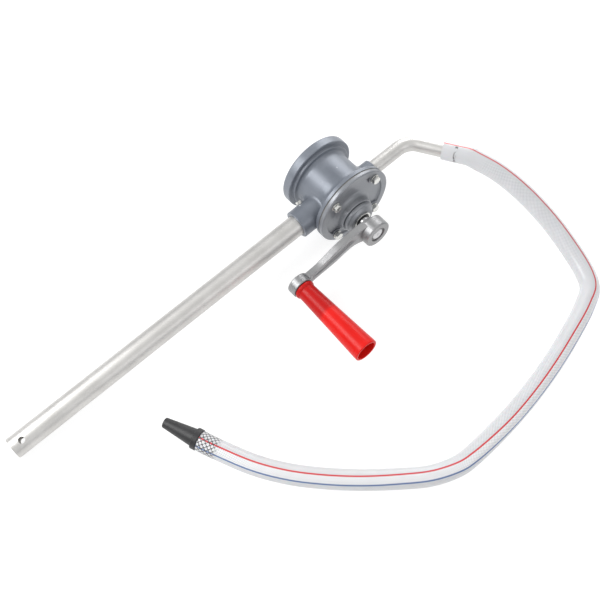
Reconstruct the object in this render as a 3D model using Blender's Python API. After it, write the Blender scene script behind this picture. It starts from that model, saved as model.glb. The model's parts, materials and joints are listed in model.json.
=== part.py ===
"""Hand-cranked drum barrel pump lying on a table, in metres, with Z up.

The pieces are modelled in the pump's own frame: X runs along the suction tube from its
foot to the outlet, Y runs along the shaft away from the crank, and the tube's axis passes
through the origin. An empty named pump_pose then lays the pump down on its two round
flanges and the foot of the tube, and another, named layout, centres it on the origin.
"""

import math

import bmesh
import bpy
import numpy as np
from mathutils import Matrix, Vector

GAP = 0.0003  # between pieces that touch

# Casing. Heights are measured along the shaft from the tube's axis, positive to the crank.
CHAMBER_R = 0.0345
BARREL_WALL = 0.0055
BARREL_R = CHAMBER_R + BARREL_WALL
REAR_FLANGE_W = 0.0133
REAR_FLANGE_R = BARREL_R + REAR_FLANGE_W
REAR_FACE = -0.0508
REAR_FLANGE_T = 0.0128
REAR_STEP_W = 0.0065
REAR_STEP_R = BARREL_R + REAR_STEP_W
REAR_STEP_T = 0.0035
CHAMBER_FLOOR = -0.0330
BOLT_LAND = 0.0055  # from the barrel to the circle of bolts
BOLT_CIRCLE_R = BARREL_R + BOLT_LAND
RIM_LAND = 0.0110
RIM_R = BOLT_CIRCLE_R + RIM_LAND
BODY_JOINT = 0.0245
BODY_FLANGE_T = 0.0055
EDGE = 0.0010

# Cover, with its neck round the shaft.
GASKET_T = 0.0008
GASKET_W = 0.0050
COVER_T = 0.0055
RIM_W = 0.0100
RECESS_R = RIM_R - RIM_W
RECESS_DEPTH = 0.0025
SHAFT_R = 0.0080
GLAND_NOSE_W = 0.0070
GLAND_NOSE_R = SHAFT_R + GLAND_NOSE_W
NECK_WALL = 0.0100
NECK_R = GLAND_NOSE_R + NECK_WALL
NECK_FLARE = 0.0060
NECK_BASE_R = NECK_R + NECK_FLARE
NECK_LENGTH = 0.0100
BOLT_ANGLES = (40.0, 132.0, 222.0, 312.0)
BOLT_BOSS_R = 0.0085
BOLT_R = 0.0030
BOLT_HEAD_AF = 0.0100
BOLT_HEAD_T = 0.0045
WASHER_R = 0.0062
WASHER_T = 0.0012

# Shaft, rotor and vanes, off the casing's centre by the eccentricity.
SHAFT_X = -0.0050
SHAFT_Z = -0.0045
BUSH_WALL = 0.0030
VANE_T = 0.0050
VANE_HEIGHT = 0.0150
VANE_ANGLE = 132.0

# Gland round the shaft.
PACKING_T = 0.0035
GLAND_RIM_W = 0.0080
GLAND_R = GLAND_NOSE_R + GLAND_RIM_W
GLAND_RIM_T = 0.0045
GLAND_FRONT_W = 0.0088
GLAND_FRONT_R = SHAFT_R + GLAND_FRONT_W
GLAND_T = 0.0095
GLAND_RING_W = 0.0050
GLAND_RING_R = SHAFT_R + GLAND_RING_W
GLAND_RING_T = 0.0010
SEAL_W = 0.0022
SEAL_R = SHAFT_R + SEAL_W
SEAL_T = 0.0022

# Crank.
CRANK_RADIUS = 0.1185
CRANK_DROP_DEG = 3.4
CRANK_BACK = 0.0586
HUB_FACE = 0.0817
HUB_LENGTH = 0.0177
HUB_RECESS_W = 0.0028
HUB_RECESS_R = SHAFT_R + HUB_RECESS_W
HUB_WALL = 0.0084
HUB_R = HUB_RECESS_R + HUB_WALL
HUB_RECESS_DEPTH = 0.0030
ARM_RIB = 0.0030
ARM_POCKET = 0.0025
# Stations along the arm: share of the crank radius, then its top, its bottom, its back, its front
# and the lower side of its sunk web.
ARM_STATIONS = (
    (-0.04, 0.0186, -0.0180, 0.0624, 0.0744, 0.0040),
    (0.04, 0.0182, -0.0172, 0.0612, 0.0730, 0.0040),
    (0.10, 0.0173, -0.0148, 0.0600, 0.0709, 0.0040),
    (0.17, 0.0162, -0.0124, 0.0591, 0.0692, 0.0036),
    (0.25, 0.0154, -0.0102, 0.0587, 0.0684, 0.0022),
    (0.34, 0.0150, -0.0102, 0.0586, 0.0681, -0.0008),
    (0.44, 0.0139, -0.0109, 0.0586, 0.0683, -0.0018),
    (0.53, 0.0116, -0.0118, 0.0586, 0.0685, -0.0022),
    (0.62, 0.0089, -0.0122, 0.0586, 0.0683, -0.0026),
    (0.72, 0.0064, -0.0122, 0.0586, 0.0681, -0.0034),
    (0.84, 0.0060, -0.0118, 0.0586, 0.0681, -0.0032),
    (1.04, 0.0070, -0.0100, 0.0586, 0.0681, -0.0020),
)
POCKET_FROM, POCKET_TO = 0.20, 0.84
BOSS_R = 0.0152
BOSS_LENGTH = 0.0125
SCREW_R = 0.0030

# Grip on its spindle.
SPINDLE_R = 0.0050
SPINDLE_HEAD_R = 0.0090
SPINDLE_HEAD_T = 0.0040
GRIP_LENGTH = 0.1180
GRIP_BEAD_R = 0.0140
GRIP_BEAD_T = 0.0050
GRIP_THIN_R = 0.0122
GRIP_THICK_R = 0.0164
GRIP_WALL = 0.0030
GRIP_HOLLOW_DEPTH = 0.0240

# Suction tube and its socket.
TUBE_R = 0.0140
TUBE_WALL = 0.0020
TUBE_LENGTH = 0.4736
SEAT_WALL = 0.0115  # from the chamber to the end of the tube
TUBE_SEAT = -(CHAMBER_R + SEAT_WALL)
TUBE_FOOT = TUBE_SEAT - TUBE_LENGTH
INLET_SOCKET_WALL = 0.0052
INLET_SOCKET_R = TUBE_R + INLET_SOCKET_WALL
TUBE_GRIP = 0.0270
INLET_SOCKET_END = TUBE_SEAT - TUBE_GRIP
INLET_PORT_R = 0.0110
FOOT_HOLE_R = 0.0042
FOOT_HOLE_FROM_END = 0.0150
FOOT_HOLE_LEAN_DEG = 20.0
TUBE_SCREW_IN = 0.0060
TUBE_SCREW_X = TUBE_SEAT - TUBE_SCREW_IN
TUBE_SCREW_LEAN_DEG = 33.0
TUBE_SCREW_HEAD_R = 0.0044
TUBE_SCREW_HEAD_T = 0.0040

# Bent outlet pipe and its socket.
OUTLET_SHIFT = 0.0040  # towards the crank from the suction tube's axis
PIPE_R = 0.0100
PIPE_WALL = 0.0015
PIPE_SEAT_WALL = 0.0095
PIPE_SEAT = CHAMBER_R + PIPE_SEAT_WALL
OUTLET_SOCKET_WALL = 0.0038
OUTLET_SOCKET_R = PIPE_R + OUTLET_SOCKET_WALL
PIPE_GRIP = 0.0115
OUTLET_SOCKET_END = PIPE_SEAT + PIPE_GRIP
OUTLET_PORT_R = 0.0080
PIPE_STRAIGHT = 0.0447
PIPE_BEND_START = OUTLET_SOCKET_END + PIPE_STRAIGHT
PIPE_BEND_R = 0.0300
PIPE_BEND_DEG = 60.0
PIPE_END_LENGTH = 0.0490
PIPE_SCREW_IN = 0.0055
PIPE_SCREW_X = OUTLET_SOCKET_END - PIPE_SCREW_IN

# Hose and nozzle, on the table. Positions are from the point of the table under the origin.
HOSE_R = 0.0127
HOSE_POINT_SPACING = 0.0165
HOSE_LEAD = 0.0180  # straight run at each end
HOSE_ROUTE = (
    (0.1626, -0.0860, 0.0705),
    (0.1737, -0.1132, 0.0645),
    (0.1826, -0.1432, 0.0545),
    (0.1889, -0.1768, 0.0415),
    (0.1903, -0.2151, 0.0285),
    (0.1845, -0.2580, 0.0185),
    (0.1765, -0.2860, 0.0143),
    (0.1650, -0.3035, 0.0130),
    (0.1450, -0.3140, 0.0130),
    (0.1175, -0.3245, 0.0130),
    (0.0667, -0.3396, 0.0130),
    (0.0175, -0.3507, 0.0130),
    (-0.0301, -0.3581, 0.0130),
    (-0.0737, -0.3619, 0.0130),
    (-0.1110, -0.3630, 0.0130),
    (-0.1340, -0.3605, 0.0130),
    (-0.1646, -0.3482, 0.0130),
    (-0.1965, -0.3255, 0.0130),
    (-0.2293, -0.2988, 0.0130),
    (-0.2601, -0.2698, 0.0130),
    (-0.2886, -0.2380, 0.0130),
    (-0.3133, -0.2013, 0.0130),
)
NOZZLE_COLLAR = (-0.3425, -0.1375, 0.0138)
NOZZLE_HEADING_DEG = 111.5
NOZZLE_COLLAR_R = 0.0135
NOZZLE_COLLAR_T = 0.0080
NOZZLE_ROOT_R = 0.0112
NOZZLE_TIP_R = 0.0066
NOZZLE_LENGTH = 0.0500
NOZZLE_BORE_R = 0.0042

FINE, MIDDLE, COARSE = 48, 32, 16

PAINT = (0.235, 0.255, 0.285, 1.0)
COVER_PAINT = (0.285, 0.295, 0.305, 1.0)
CAST = (0.33, 0.335, 0.34, 1.0)
SATIN = (0.72, 0.71, 0.69, 1.0)
ZINC = (0.62, 0.62, 0.60, 1.0)
STEEL = (0.50, 0.50, 0.51, 1.0)
BRONZE = (0.45, 0.27, 0.11, 1.0)
RUBBER = (0.015, 0.015, 0.016, 1.0)
FIBRE = (0.25, 0.20, 0.13, 1.0)
RED = (0.62, 0.015, 0.012, 1.0)
CLEAR = (0.72, 0.73, 0.75, 1.0)


def clear_scene():
    for obj in list(bpy.data.objects):
        bpy.data.objects.remove(obj, do_unlink=True)


def material(name, colour, metallic, roughness):
    made = bpy.data.materials.new(name + "_surface")
    made.use_nodes = True
    shader = made.node_tree.nodes["Principled BSDF"]
    shader.inputs["Base Color"].default_value = colour
    shader.inputs["Metallic"].default_value = metallic
    shader.inputs["Roughness"].default_value = roughness
    made.diffuse_color = colour
    return made


def frame(origin, along, side=None):
    """A matrix whose Z runs along the given direction, with X near side."""
    z = Vector(along).normalized()
    side = Vector(side) if side else (Vector((1, 0, 0)) if abs(z.x) < 0.9 else Vector((0, 1, 0)))
    x = (side - z * side.dot(z)).normalized()
    y = z.cross(x)
    turned = Matrix((x, y, z)).transposed().to_4x4()
    turned.translation = Vector(origin)
    return turned


def add(name, points, faces, matrix, colour=None, metallic=0.0, roughness=0.5, smooth=True):
    """A closed mesh in the frame of the matrix, facing out."""
    mesh = bpy.data.meshes.new(name)
    mesh.from_pydata([tuple(p) for p in points], [], faces)
    shell = bmesh.new()
    shell.from_mesh(mesh)
    bmesh.ops.remove_doubles(shell, verts=shell.verts, dist=1e-7)
    bmesh.ops.recalc_face_normals(shell, faces=shell.faces)
    if shell.calc_volume(signed=True) < 0:
        bmesh.ops.reverse_faces(shell, faces=shell.faces)
    shell.to_mesh(mesh)
    shell.free()
    if smooth:
        mesh.shade_smooth()
        mesh.set_sharp_from_angle(angle=math.radians(30))
    made = bpy.data.objects.new(name, mesh)
    bpy.context.scene.collection.objects.link(made)
    made.matrix_world = matrix
    if colour:
        mesh.materials.append(material(name, colour, metallic, roughness))
    else:
        made.hide_render = True
        made.display_type = "WIRE"
    return made


def lathe_mesh(profile, steps, closed):
    """Points and faces of (radius, height) pairs turned about Z. A closed profile makes a ring."""
    angles = [2 * math.pi * i / steps for i in range(steps)]
    points, rows = [], []
    for radius, height in profile:
        if radius < 1e-9:
            rows.append([len(points)] * steps)
            points.append((0.0, 0.0, height))
        else:
            rows.append(list(range(len(points), len(points) + steps)))
            points += [(radius * math.cos(a), radius * math.sin(a), height) for a in angles]
    pairs = list(zip(rows, rows[1:] + rows[:1])) if closed else list(zip(rows, rows[1:]))
    faces = []
    for low, high in pairs:
        for i in range(steps):
            j = (i + 1) % steps
            face = [low[i], low[j], high[j], high[i]]
            face = [p for k, p in enumerate(face) if p != face[k - 1]]
            if len(face) > 2:
                faces.append(face)
    return points, faces


def lathe(name, profile, matrix, steps, look=(), closed=False):
    points, faces = lathe_mesh(profile, steps, closed)
    return add(name, points, faces, matrix, *look)


def disc(name, radius, low, high, matrix, steps, look=()):
    return lathe(name, [(0, low), (radius, low), (radius, high), (0, high)], matrix, steps, look)


def ring(name, outer, inner, low, high, matrix, steps, look=(), edge=0.0):
    profile = [(inner, low), (outer - edge, low), (outer, low + edge)]
    profile += [(outer, high - edge), (outer - edge, high), (inner, high)]
    if not edge:
        profile = [(inner, low), (outer, low), (outer, high), (inner, high)]
    return lathe(name, profile, matrix, steps, look, closed=True)


def prism(name, outline, low, high, matrix, look=()):
    """An outline of (x, y) pairs raised from low to high along Z."""
    n = len(outline)
    points = [(x, y, low) for x, y in outline] + [(x, y, high) for x, y in outline]
    faces = [list(range(n))[::-1], list(range(n, 2 * n))]
    faces += [[i, (i + 1) % n, n + (i + 1) % n, n + i] for i in range(n)]
    return add(name, points, faces, matrix, *look)


def loft(name, rings, matrix, look=()):
    """Rings of equally many points joined in order, with both ends filled."""
    n = len(rings[0])
    points = [tuple(point) for ring_points in rings for point in ring_points]
    last = (len(rings) - 1) * n
    faces = [list(range(n))[::-1], list(range(last, last + n))]
    for r in range(len(rings) - 1):
        for i in range(n):
            j = (i + 1) % n
            faces.append([r * n + i, r * n + j, (r + 1) * n + j, (r + 1) * n + i])
    return add(name, points, faces, matrix, *look)


def sweep(name, centres, outer, inner, steps, matrix, look):
    """A hollow tube along a plane curve given as (x, y) pairs."""
    centres = np.array(centres)
    along = np.gradient(centres, axis=0)
    along /= np.linalg.norm(along, axis=1)[:, None]
    side = np.stack([-along[:, 1], along[:, 0]], 1)
    angles = 2 * np.pi * np.arange(steps) / steps
    points = []
    for radius in (outer, inner):
        for centre, across in zip(centres, side):
            for a in angles:
                x, y = centre + across * radius * math.cos(a)
                points.append((x, y, radius * math.sin(a)))
    rows = len(centres)
    faces = []
    for shell in (0, 1):
        base = shell * rows * steps
        for r in range(rows - 1):
            for i in range(steps):
                j = (i + 1) % steps
                here, there = base + r * steps, base + (r + 1) * steps
                faces.append([here + i, here + j, there + j, there + i])
    for r in (0, rows - 1):
        for i in range(steps):
            j = (i + 1) % steps
            out, inn = r * steps, (rows + r) * steps
            faces.append([out + i, out + j, inn + j, inn + i])
    return add(name, points, faces, matrix, *look)


def combine(target, operation, *others):
    for other in others:
        change = target.modifiers.new(other.name, "BOOLEAN")
        change.operation = operation
        change.solver = "MANIFOLD"
        change.object = other


def smooth_through(stations, count):
    """Stations joined by a curve whose slope at each is the mean of its neighbours'."""
    stations = np.array(stations, float)
    t = np.arange(len(stations))
    slopes = np.gradient(stations, axis=0)
    at = np.linspace(0, len(stations) - 1, count)
    k = np.minimum(at.astype(int), len(stations) - 2)
    f = (at - k)[:, None]
    a, b, m, n = stations[k], stations[k + 1], slopes[k], slopes[k + 1]
    return (
        a * (2 * f**3 - 3 * f**2 + 1)
        + m * (f**3 - 2 * f**2 + f)
        + b * (3 * f**2 - 2 * f**3)
        + n * (f**3 - f**2)
    )


clear_scene()
layout = bpy.data.objects.new("layout", None)
pose = bpy.data.objects.new("pump_pose", None)
for empty in (layout, pose):
    bpy.context.scene.collection.objects.link(empty)

PAINTED = (PAINT, 0.1, 0.45)
COVERED = (COVER_PAINT, 0.25, 0.42)
CASTING = (CAST, 0.85, 0.38)
TUBING = (SATIN, 0.95, 0.30)
PLATED = (ZINC, 0.95, 0.25)
STEELY = (STEEL, 0.95, 0.35)

casing = frame((0, 0, 0), (0, -1, 0), (1, 0, 0))
shaft_line = frame((SHAFT_X, 0, SHAFT_Z), (0, -1, 0), (1, 0, 0))
tube_line = frame((0, 0, 0), (1, 0, 0), (0, 0, 1))
pipe_line = frame((0, -OUTLET_SHIFT, 0), (1, 0, 0), (0, 0, 1))

# Heights along the shaft that follow from the sizes above.
COVER_BACK = BODY_JOINT + GASKET_T + 2 * GAP
COVER_FACE = COVER_BACK + COVER_T
NECK_FACE = COVER_FACE + NECK_LENGTH
BUSH_R = SHAFT_R + GAP + BUSH_WALL
BUSH_TOP = NECK_FACE - PACKING_T - 2 * GAP - 0.0015
GLAND_BACK = NECK_FACE + GAP
GLAND_FACE = GLAND_BACK + GLAND_T
HUB_BACK = HUB_FACE - HUB_LENGTH
ECCENTRICITY = math.hypot(SHAFT_X, SHAFT_Z)
ROTOR_R = CHAMBER_R - ECCENTRICITY - GAP

# Body casting: rear flange, barrel and front flange in one turned shape.
body_profile = [
    (0, REAR_FACE),
    (REAR_FLANGE_R - EDGE, REAR_FACE),
    (REAR_FLANGE_R, REAR_FACE + EDGE),
    (REAR_FLANGE_R, REAR_FACE + REAR_FLANGE_T - 2 * EDGE),
    (REAR_FLANGE_R - 0.6 * EDGE, REAR_FACE + REAR_FLANGE_T - 0.6 * EDGE),
    (REAR_FLANGE_R - 2 * EDGE, REAR_FACE + REAR_FLANGE_T),
    (REAR_STEP_R, REAR_FACE + REAR_FLANGE_T),
    (REAR_STEP_R, REAR_FACE + REAR_FLANGE_T + REAR_STEP_T),
    (BARREL_R + 0.0020, REAR_FACE + REAR_FLANGE_T + REAR_STEP_T + 0.0010),
    (BARREL_R, REAR_FACE + REAR_FLANGE_T + REAR_STEP_T + 0.0030),
    (BARREL_R, BODY_JOINT - BODY_FLANGE_T - 0.0080),
    (BARREL_R + 0.0040, BODY_JOINT - BODY_FLANGE_T - 0.0020),
    (BARREL_R + 0.0090, BODY_JOINT - BODY_FLANGE_T),
    (RIM_R - EDGE, BODY_JOINT - BODY_FLANGE_T),
    (RIM_R, BODY_JOINT - BODY_FLANGE_T + EDGE),
    (RIM_R, BODY_JOINT),
    (0, BODY_JOINT),
]
body = lathe("pump_body", body_profile, casing, FINE, PAINTED)
inlet_socket = lathe(
    "inlet_socket",
    [
        (0, INLET_SOCKET_END),
        (INLET_SOCKET_R - EDGE, INLET_SOCKET_END),
        (INLET_SOCKET_R, INLET_SOCKET_END + EDGE),
        (INLET_SOCKET_R, -CHAMBER_R),
        (0, -CHAMBER_R),
    ],
    tube_line,
    MIDDLE,
)
outlet_socket = lathe(
    "outlet_socket",
    [
        (0, CHAMBER_R),
        (OUTLET_SOCKET_R, CHAMBER_R),
        (OUTLET_SOCKET_R, OUTLET_SOCKET_END - EDGE),
        (OUTLET_SOCKET_R - EDGE, OUTLET_SOCKET_END),
        (0, OUTLET_SOCKET_END),
    ],
    pipe_line,
    MIDDLE,
)
chamber = disc("chamber_space", CHAMBER_R, CHAMBER_FLOOR, BODY_JOINT + 0.01, casing, FINE)
rear_pocket = disc(
    "rear_bush_pocket", BUSH_R + GAP, CHAMBER_FLOOR - 0.0105, CHAMBER_FLOOR + 0.01, shaft_line, MIDDLE
)
inlet_bore = lathe(
    "inlet_bore",
    [
        (0, INLET_SOCKET_END - 0.01),
        (TUBE_R + GAP, INLET_SOCKET_END - 0.01),
        (TUBE_R + GAP, TUBE_SEAT + GAP),
        (INLET_PORT_R, TUBE_SEAT + GAP),
        (INLET_PORT_R, -0.020),
        (0, -0.020),
    ],
    tube_line,
    MIDDLE,
)
outlet_bore = lathe(
    "outlet_bore",
    [
        (0, 0.020),
        (OUTLET_PORT_R, 0.020),
        (OUTLET_PORT_R, PIPE_SEAT - GAP),
        (PIPE_R + GAP, PIPE_SEAT - GAP),
        (PIPE_R + GAP, OUTLET_SOCKET_END + 0.01),
        (0, OUTLET_SOCKET_END + 0.01),
    ],
    pipe_line,
    MIDDLE,
)
bolt_holes = []
for number, angle in enumerate(BOLT_ANGLES, 1):
    turn = math.radians(angle)
    bolt_line = frame(
        (BOLT_CIRCLE_R * math.cos(turn), 0, BOLT_CIRCLE_R * math.sin(turn)), (0, -1, 0), (1, 0, 0)
    )
    hole = disc(
        f"bolt_hole_{number}",
        BOLT_R + GAP,
        BODY_JOINT - BODY_FLANGE_T - 0.01,
        COVER_FACE + 0.01,
        bolt_line,
        COARSE,
    )
    bolt_holes.append((number, bolt_line, hole))
lean = math.radians(TUBE_SCREW_LEAN_DEG)
tube_screw_line = frame((TUBE_SCREW_X, 0, 0), (0, math.cos(lean), math.sin(lean)), (1, 0, 0))
tube_screw_hole = disc(
    "tube_screw_hole", SCREW_R + GAP, TUBE_R - 0.002, INLET_SOCKET_R + 0.01, tube_screw_line, COARSE
)
pipe_screw_line = frame((PIPE_SCREW_X, -OUTLET_SHIFT, 0), (0, 0, -1), (1, 0, 0))
pipe_screw_hole = disc(
    "pipe_screw_hole", SCREW_R + GAP, PIPE_R - 0.002, OUTLET_SOCKET_R + 0.01, pipe_screw_line, COARSE
)
combine(body, "UNION", inlet_socket, outlet_socket)
combine(body, "DIFFERENCE", *[hole for _, _, hole in bolt_holes], tube_screw_hole, pipe_screw_hole)
combine(body, "DIFFERENCE", chamber, rear_pocket, inlet_bore, outlet_bore)

# Gasket between body and cover, inside the circle of bolts.
gasket = ring(
    "cover_gasket",
    CHAMBER_R + GASKET_W,
    CHAMBER_R + GAP,
    BODY_JOINT + GAP,
    BODY_JOINT + GAP + GASKET_T,
    casing,
    FINE,
    (FIBRE, 0.0, 0.8),
)

# Cover: rim, recessed face, bolt bosses, and the neck that carries the shaft.
floor = COVER_FACE - RECESS_DEPTH
BOSS_TOP = COVER_FACE - GAP
cover_profile = [
    (0, COVER_BACK),
    (RIM_R, COVER_BACK),
    (RIM_R, COVER_FACE - 1.6 * EDGE),
    (RIM_R - 0.5 * EDGE, COVER_FACE - 0.5 * EDGE),
    (RIM_R - 1.6 * EDGE, COVER_FACE),
    (RECESS_R, COVER_FACE),
    (RECESS_R - 0.6 * EDGE, floor),
    (0, floor),
]
cover = lathe("front_cover", cover_profile, casing, FINE, COVERED)
neck = lathe(
    "cover_neck",
    [
        (0, COVER_BACK + 0.0020),
        (NECK_BASE_R, COVER_BACK + 0.0020),
        (NECK_BASE_R, floor + 0.0006),
        (NECK_BASE_R - 0.0034, floor + 0.0022),
        (NECK_R + 0.0006, floor + 0.0062),
        (NECK_R, NECK_FACE - EDGE),
        (NECK_R - EDGE, NECK_FACE),
        (0, NECK_FACE),
    ],
    shaft_line,
    FINE,
)
bosses = [
    disc(f"bolt_boss_{number}", BOLT_BOSS_R, COVER_BACK + 0.0015, BOSS_TOP, line, COARSE)
    for number, line, _ in bolt_holes
]
bush_seat = disc("front_bush_seat", BUSH_R + GAP, COVER_BACK - 0.01, BUSH_TOP + GAP, shaft_line, MIDDLE)
packing_seat = disc(
    "packing_seat", GLAND_NOSE_R + GAP, BUSH_TOP - 0.0, NECK_FACE + 0.01, shaft_line, MIDDLE
)
combine(cover, "UNION", neck, *bosses)
combine(cover, "DIFFERENCE", *[hole for _, _, hole in bolt_holes], packing_seat, bush_seat)

# Bolts and washers.
hexagon = [
    (
        BOLT_HEAD_AF / math.sqrt(3) * math.cos(math.radians(60 * i + 15)),
        BOLT_HEAD_AF / math.sqrt(3) * math.sin(math.radians(60 * i + 15)),
    )
    for i in range(6)
]
WASHER_BACK = COVER_FACE + GAP
HEAD_BACK = WASHER_BACK + WASHER_T + GAP
moved = [body, gasket, cover]
for number, line, _ in bolt_holes:
    moved.append(
        ring(
            f"bolt_washer_{number}",
            WASHER_R,
            BOLT_R + GAP,
            WASHER_BACK,
            WASHER_BACK + WASHER_T,
            line,
            COARSE,
            PLATED,
        )
    )
    bolt = prism(f"cover_bolt_{number}", hexagon, HEAD_BACK, HEAD_BACK + BOLT_HEAD_T, line, PLATED)
    shank = disc(
        f"bolt_shank_{number}",
        BOLT_R,
        BODY_JOINT - BODY_FLANGE_T + 0.0005,
        HEAD_BACK + 0.001,
        line,
        COARSE,
    )
    combine(bolt, "UNION", shank)
    moved.append(bolt)

# Shaft in two bushes, rotor, and two vanes in its slots.
shaft = lathe(
    "shaft",
    [
        (0, CHAMBER_FLOOR - 0.0090),
        (SHAFT_R - 0.0006, CHAMBER_FLOOR - 0.0090),
        (SHAFT_R, CHAMBER_FLOOR - 0.0084),
        (SHAFT_R, HUB_FACE - 0.0016),
        (SHAFT_R - 0.0006, HUB_FACE - 0.0010),
        (0, HUB_FACE - 0.0010),
    ],
    shaft_line,
    MIDDLE,
    STEELY,
)
rear_bush = ring(
    "rear_bush",
    BUSH_R,
    SHAFT_R + GAP,
    CHAMBER_FLOOR - 0.0100,
    CHAMBER_FLOOR - GAP,
    shaft_line,
    MIDDLE,
    (BRONZE, 0.9, 0.4),
)
front_bush = ring(
    "front_bush",
    BUSH_R,
    SHAFT_R + GAP,
    COVER_BACK,
    BUSH_TOP,
    shaft_line,
    MIDDLE,
    (BRONZE, 0.9, 0.4),
)
ROTOR_BACK = CHAMBER_FLOOR + GAP
ROTOR_FACE = COVER_BACK - GAP
rotor = ring(
    "rotor", ROTOR_R, SHAFT_R + GAP, ROTOR_BACK, ROTOR_FACE, shaft_line, FINE, (CAST, 0.9, 0.4)
)
vane_reach = ROTOR_R - 0.0005
vanes = []
for number, turn in enumerate((VANE_ANGLE, VANE_ANGLE + 180), 1):
    out = Vector((math.cos(math.radians(turn)), 0, math.sin(math.radians(turn))))
    origin = Vector((SHAFT_X, 0, SHAFT_Z)) + out * (vane_reach - VANE_HEIGHT / 2)
    vane_frame = frame(origin, out, (0, -1, 0))
    half_width, low, high = VANE_T / 2, ROTOR_BACK, ROTOR_FACE
    outline = [(low, -half_width), (high, -half_width), (high, half_width), (low, half_width)]
    vanes.append(
        prism(
            f"vane_{number}",
            outline,
            -VANE_HEIGHT / 2,
            VANE_HEIGHT / 2,
            vane_frame,
            (FIBRE, 0.0, 0.5),
        )
    )
    slot_width = half_width + GAP
    slot = [
        (low - 0.01, -slot_width),
        (high + 0.01, -slot_width),
        (high + 0.01, slot_width),
        (low - 0.01, slot_width),
    ]
    slot_cut = prism(
        f"vane_slot_{number}", slot, -VANE_HEIGHT / 2 - GAP, VANE_HEIGHT / 2 + 0.01, vane_frame
    )
    combine(rotor, "DIFFERENCE", slot_cut)
moved += [shaft, rear_bush, front_bush, rotor] + vanes

# Packing, gland nut, polished ring and rubber lip seal.
packing = ring(
    "shaft_packing",
    GLAND_NOSE_R,
    SHAFT_R + GAP,
    BUSH_TOP + 2 * GAP,
    BUSH_TOP + 2 * GAP + PACKING_T - GAP,
    shaft_line,
    MIDDLE,
    (FIBRE, 0.0, 0.8),
)
nose_back = BUSH_TOP + 2 * GAP + PACKING_T
gland = lathe(
    "gland_nut",
    [
        (SHAFT_R + 2 * GAP, nose_back),
        (GLAND_NOSE_R, nose_back),
        (GLAND_NOSE_R, GLAND_BACK),
        (GLAND_R - EDGE, GLAND_BACK),
        (GLAND_R, GLAND_BACK + EDGE),
        (GLAND_R, GLAND_BACK + GLAND_RIM_T),
        (GLAND_R - 0.0012, GLAND_BACK + GLAND_RIM_T + 0.0012),
        (GLAND_FRONT_R + 0.0012, GLAND_FACE - 0.0010),
        (GLAND_FRONT_R, GLAND_FACE),
        (SHAFT_R + 2 * GAP, GLAND_FACE),
    ],
    shaft_line,
    FINE,
    COVERED,
    closed=True,
)
gland_ring = ring(
    "gland_ring",
    GLAND_RING_R,
    SEAL_R + GAP,
    GLAND_FACE + GAP,
    GLAND_FACE + GAP + GLAND_RING_T,
    shaft_line,
    MIDDLE,
    PLATED,
    0.0003,
)
seal = lathe(
    "shaft_seal",
    [
        (SHAFT_R + GAP, GLAND_FACE + GAP),
        (SEAL_R, GLAND_FACE + GAP),
        (SEAL_R, GLAND_FACE + GAP + 0.4 * SEAL_T),
        (SHAFT_R + GAP + 0.0006, GLAND_FACE + GAP + SEAL_T),
        (SHAFT_R + GAP, GLAND_FACE + GAP + SEAL_T),
    ],
    shaft_line,
    MIDDLE,
    (RUBBER, 0.0, 0.6),
    closed=True,
)
moved += [packing, gland, gland_ring, seal]

# Crank: hub on the shaft, curved arm with a sunk web, and the boss that holds the spindle.
drop = math.radians(CRANK_DROP_DEG)
reach = Vector((-math.cos(drop), 0, -math.sin(drop)))
boss_centre = Vector((SHAFT_X, 0, SHAFT_Z)) + reach * CRANK_RADIUS
crank_frame = frame((SHAFT_X, 0, SHAFT_Z), (0, -1, 0), reach)
boss_line = frame(boss_centre, (0, -1, 0), reach)
stations = smooth_through([(row[0] * CRANK_RADIUS, *row[1:]) for row in ARM_STATIONS], 30)
crank = loft(
    "crank_arm",
    [
        [(u, -top, back), (u, -top, front), (u, -bottom, front), (u, -bottom, back)]
        for u, top, bottom, back, front, web in stations
    ],
    crank_frame,
    CASTING,
)
inside = [s for s in stations if POCKET_FROM < s[0] / CRANK_RADIUS < POCKET_TO]
pocket = loft(
    "arm_pocket",
    [
        [
            (u, -(top - ARM_RIB), front - ARM_POCKET),
            (u, -(top - ARM_RIB), front + 0.01),
            (u, -web, front + 0.01),
            (u, -web, front - ARM_POCKET),
        ]
        for u, top, bottom, back, front, web in inside
    ],
    crank_frame,
)
hub = lathe(
    "crank_hub",
    [
        (0, HUB_BACK),
        (HUB_R - EDGE, HUB_BACK),
        (HUB_R, HUB_BACK + EDGE),
        (HUB_R, HUB_FACE - 1.5 * EDGE),
        (HUB_R - 1.5 * EDGE, HUB_FACE),
        (0, HUB_FACE),
    ],
    crank_frame,
    FINE,
)
BOSS_BACK = CRANK_BACK - 0.0005
BOSS_FACE = BOSS_BACK + BOSS_LENGTH
boss = lathe(
    "crank_boss",
    [
        (0, BOSS_BACK),
        (BOSS_R - EDGE, BOSS_BACK),
        (BOSS_R, BOSS_BACK + EDGE),
        (BOSS_R, BOSS_FACE - EDGE),
        (BOSS_R - EDGE, BOSS_FACE),
        (0, BOSS_FACE),
    ],
    boss_line,
    MIDDLE,
)
hub_bore = disc(
    "hub_bore", SHAFT_R + GAP, CRANK_BACK - 0.01, HUB_FACE + 0.012, crank_frame, MIDDLE
)
hub_recess = disc(
    "hub_recess", HUB_RECESS_R, HUB_FACE - HUB_RECESS_DEPTH, HUB_FACE + 0.01, crank_frame, MIDDLE
)
boss_bore = disc("boss_bore", SPINDLE_R + GAP, BOSS_BACK + 0.0020, BOSS_FACE + 0.01, boss_line, COARSE)
screw_height = HUB_BACK + 0.6 * HUB_LENGTH
crank_screw_line = frame((SHAFT_X, -screw_height, SHAFT_Z), (0, 0, -1), (1, 0, 0))
crank_screw_hole = disc(
    "crank_screw_hole", SCREW_R + GAP, SHAFT_R - 0.001, HUB_R + 0.01, crank_screw_line, COARSE
)
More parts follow.
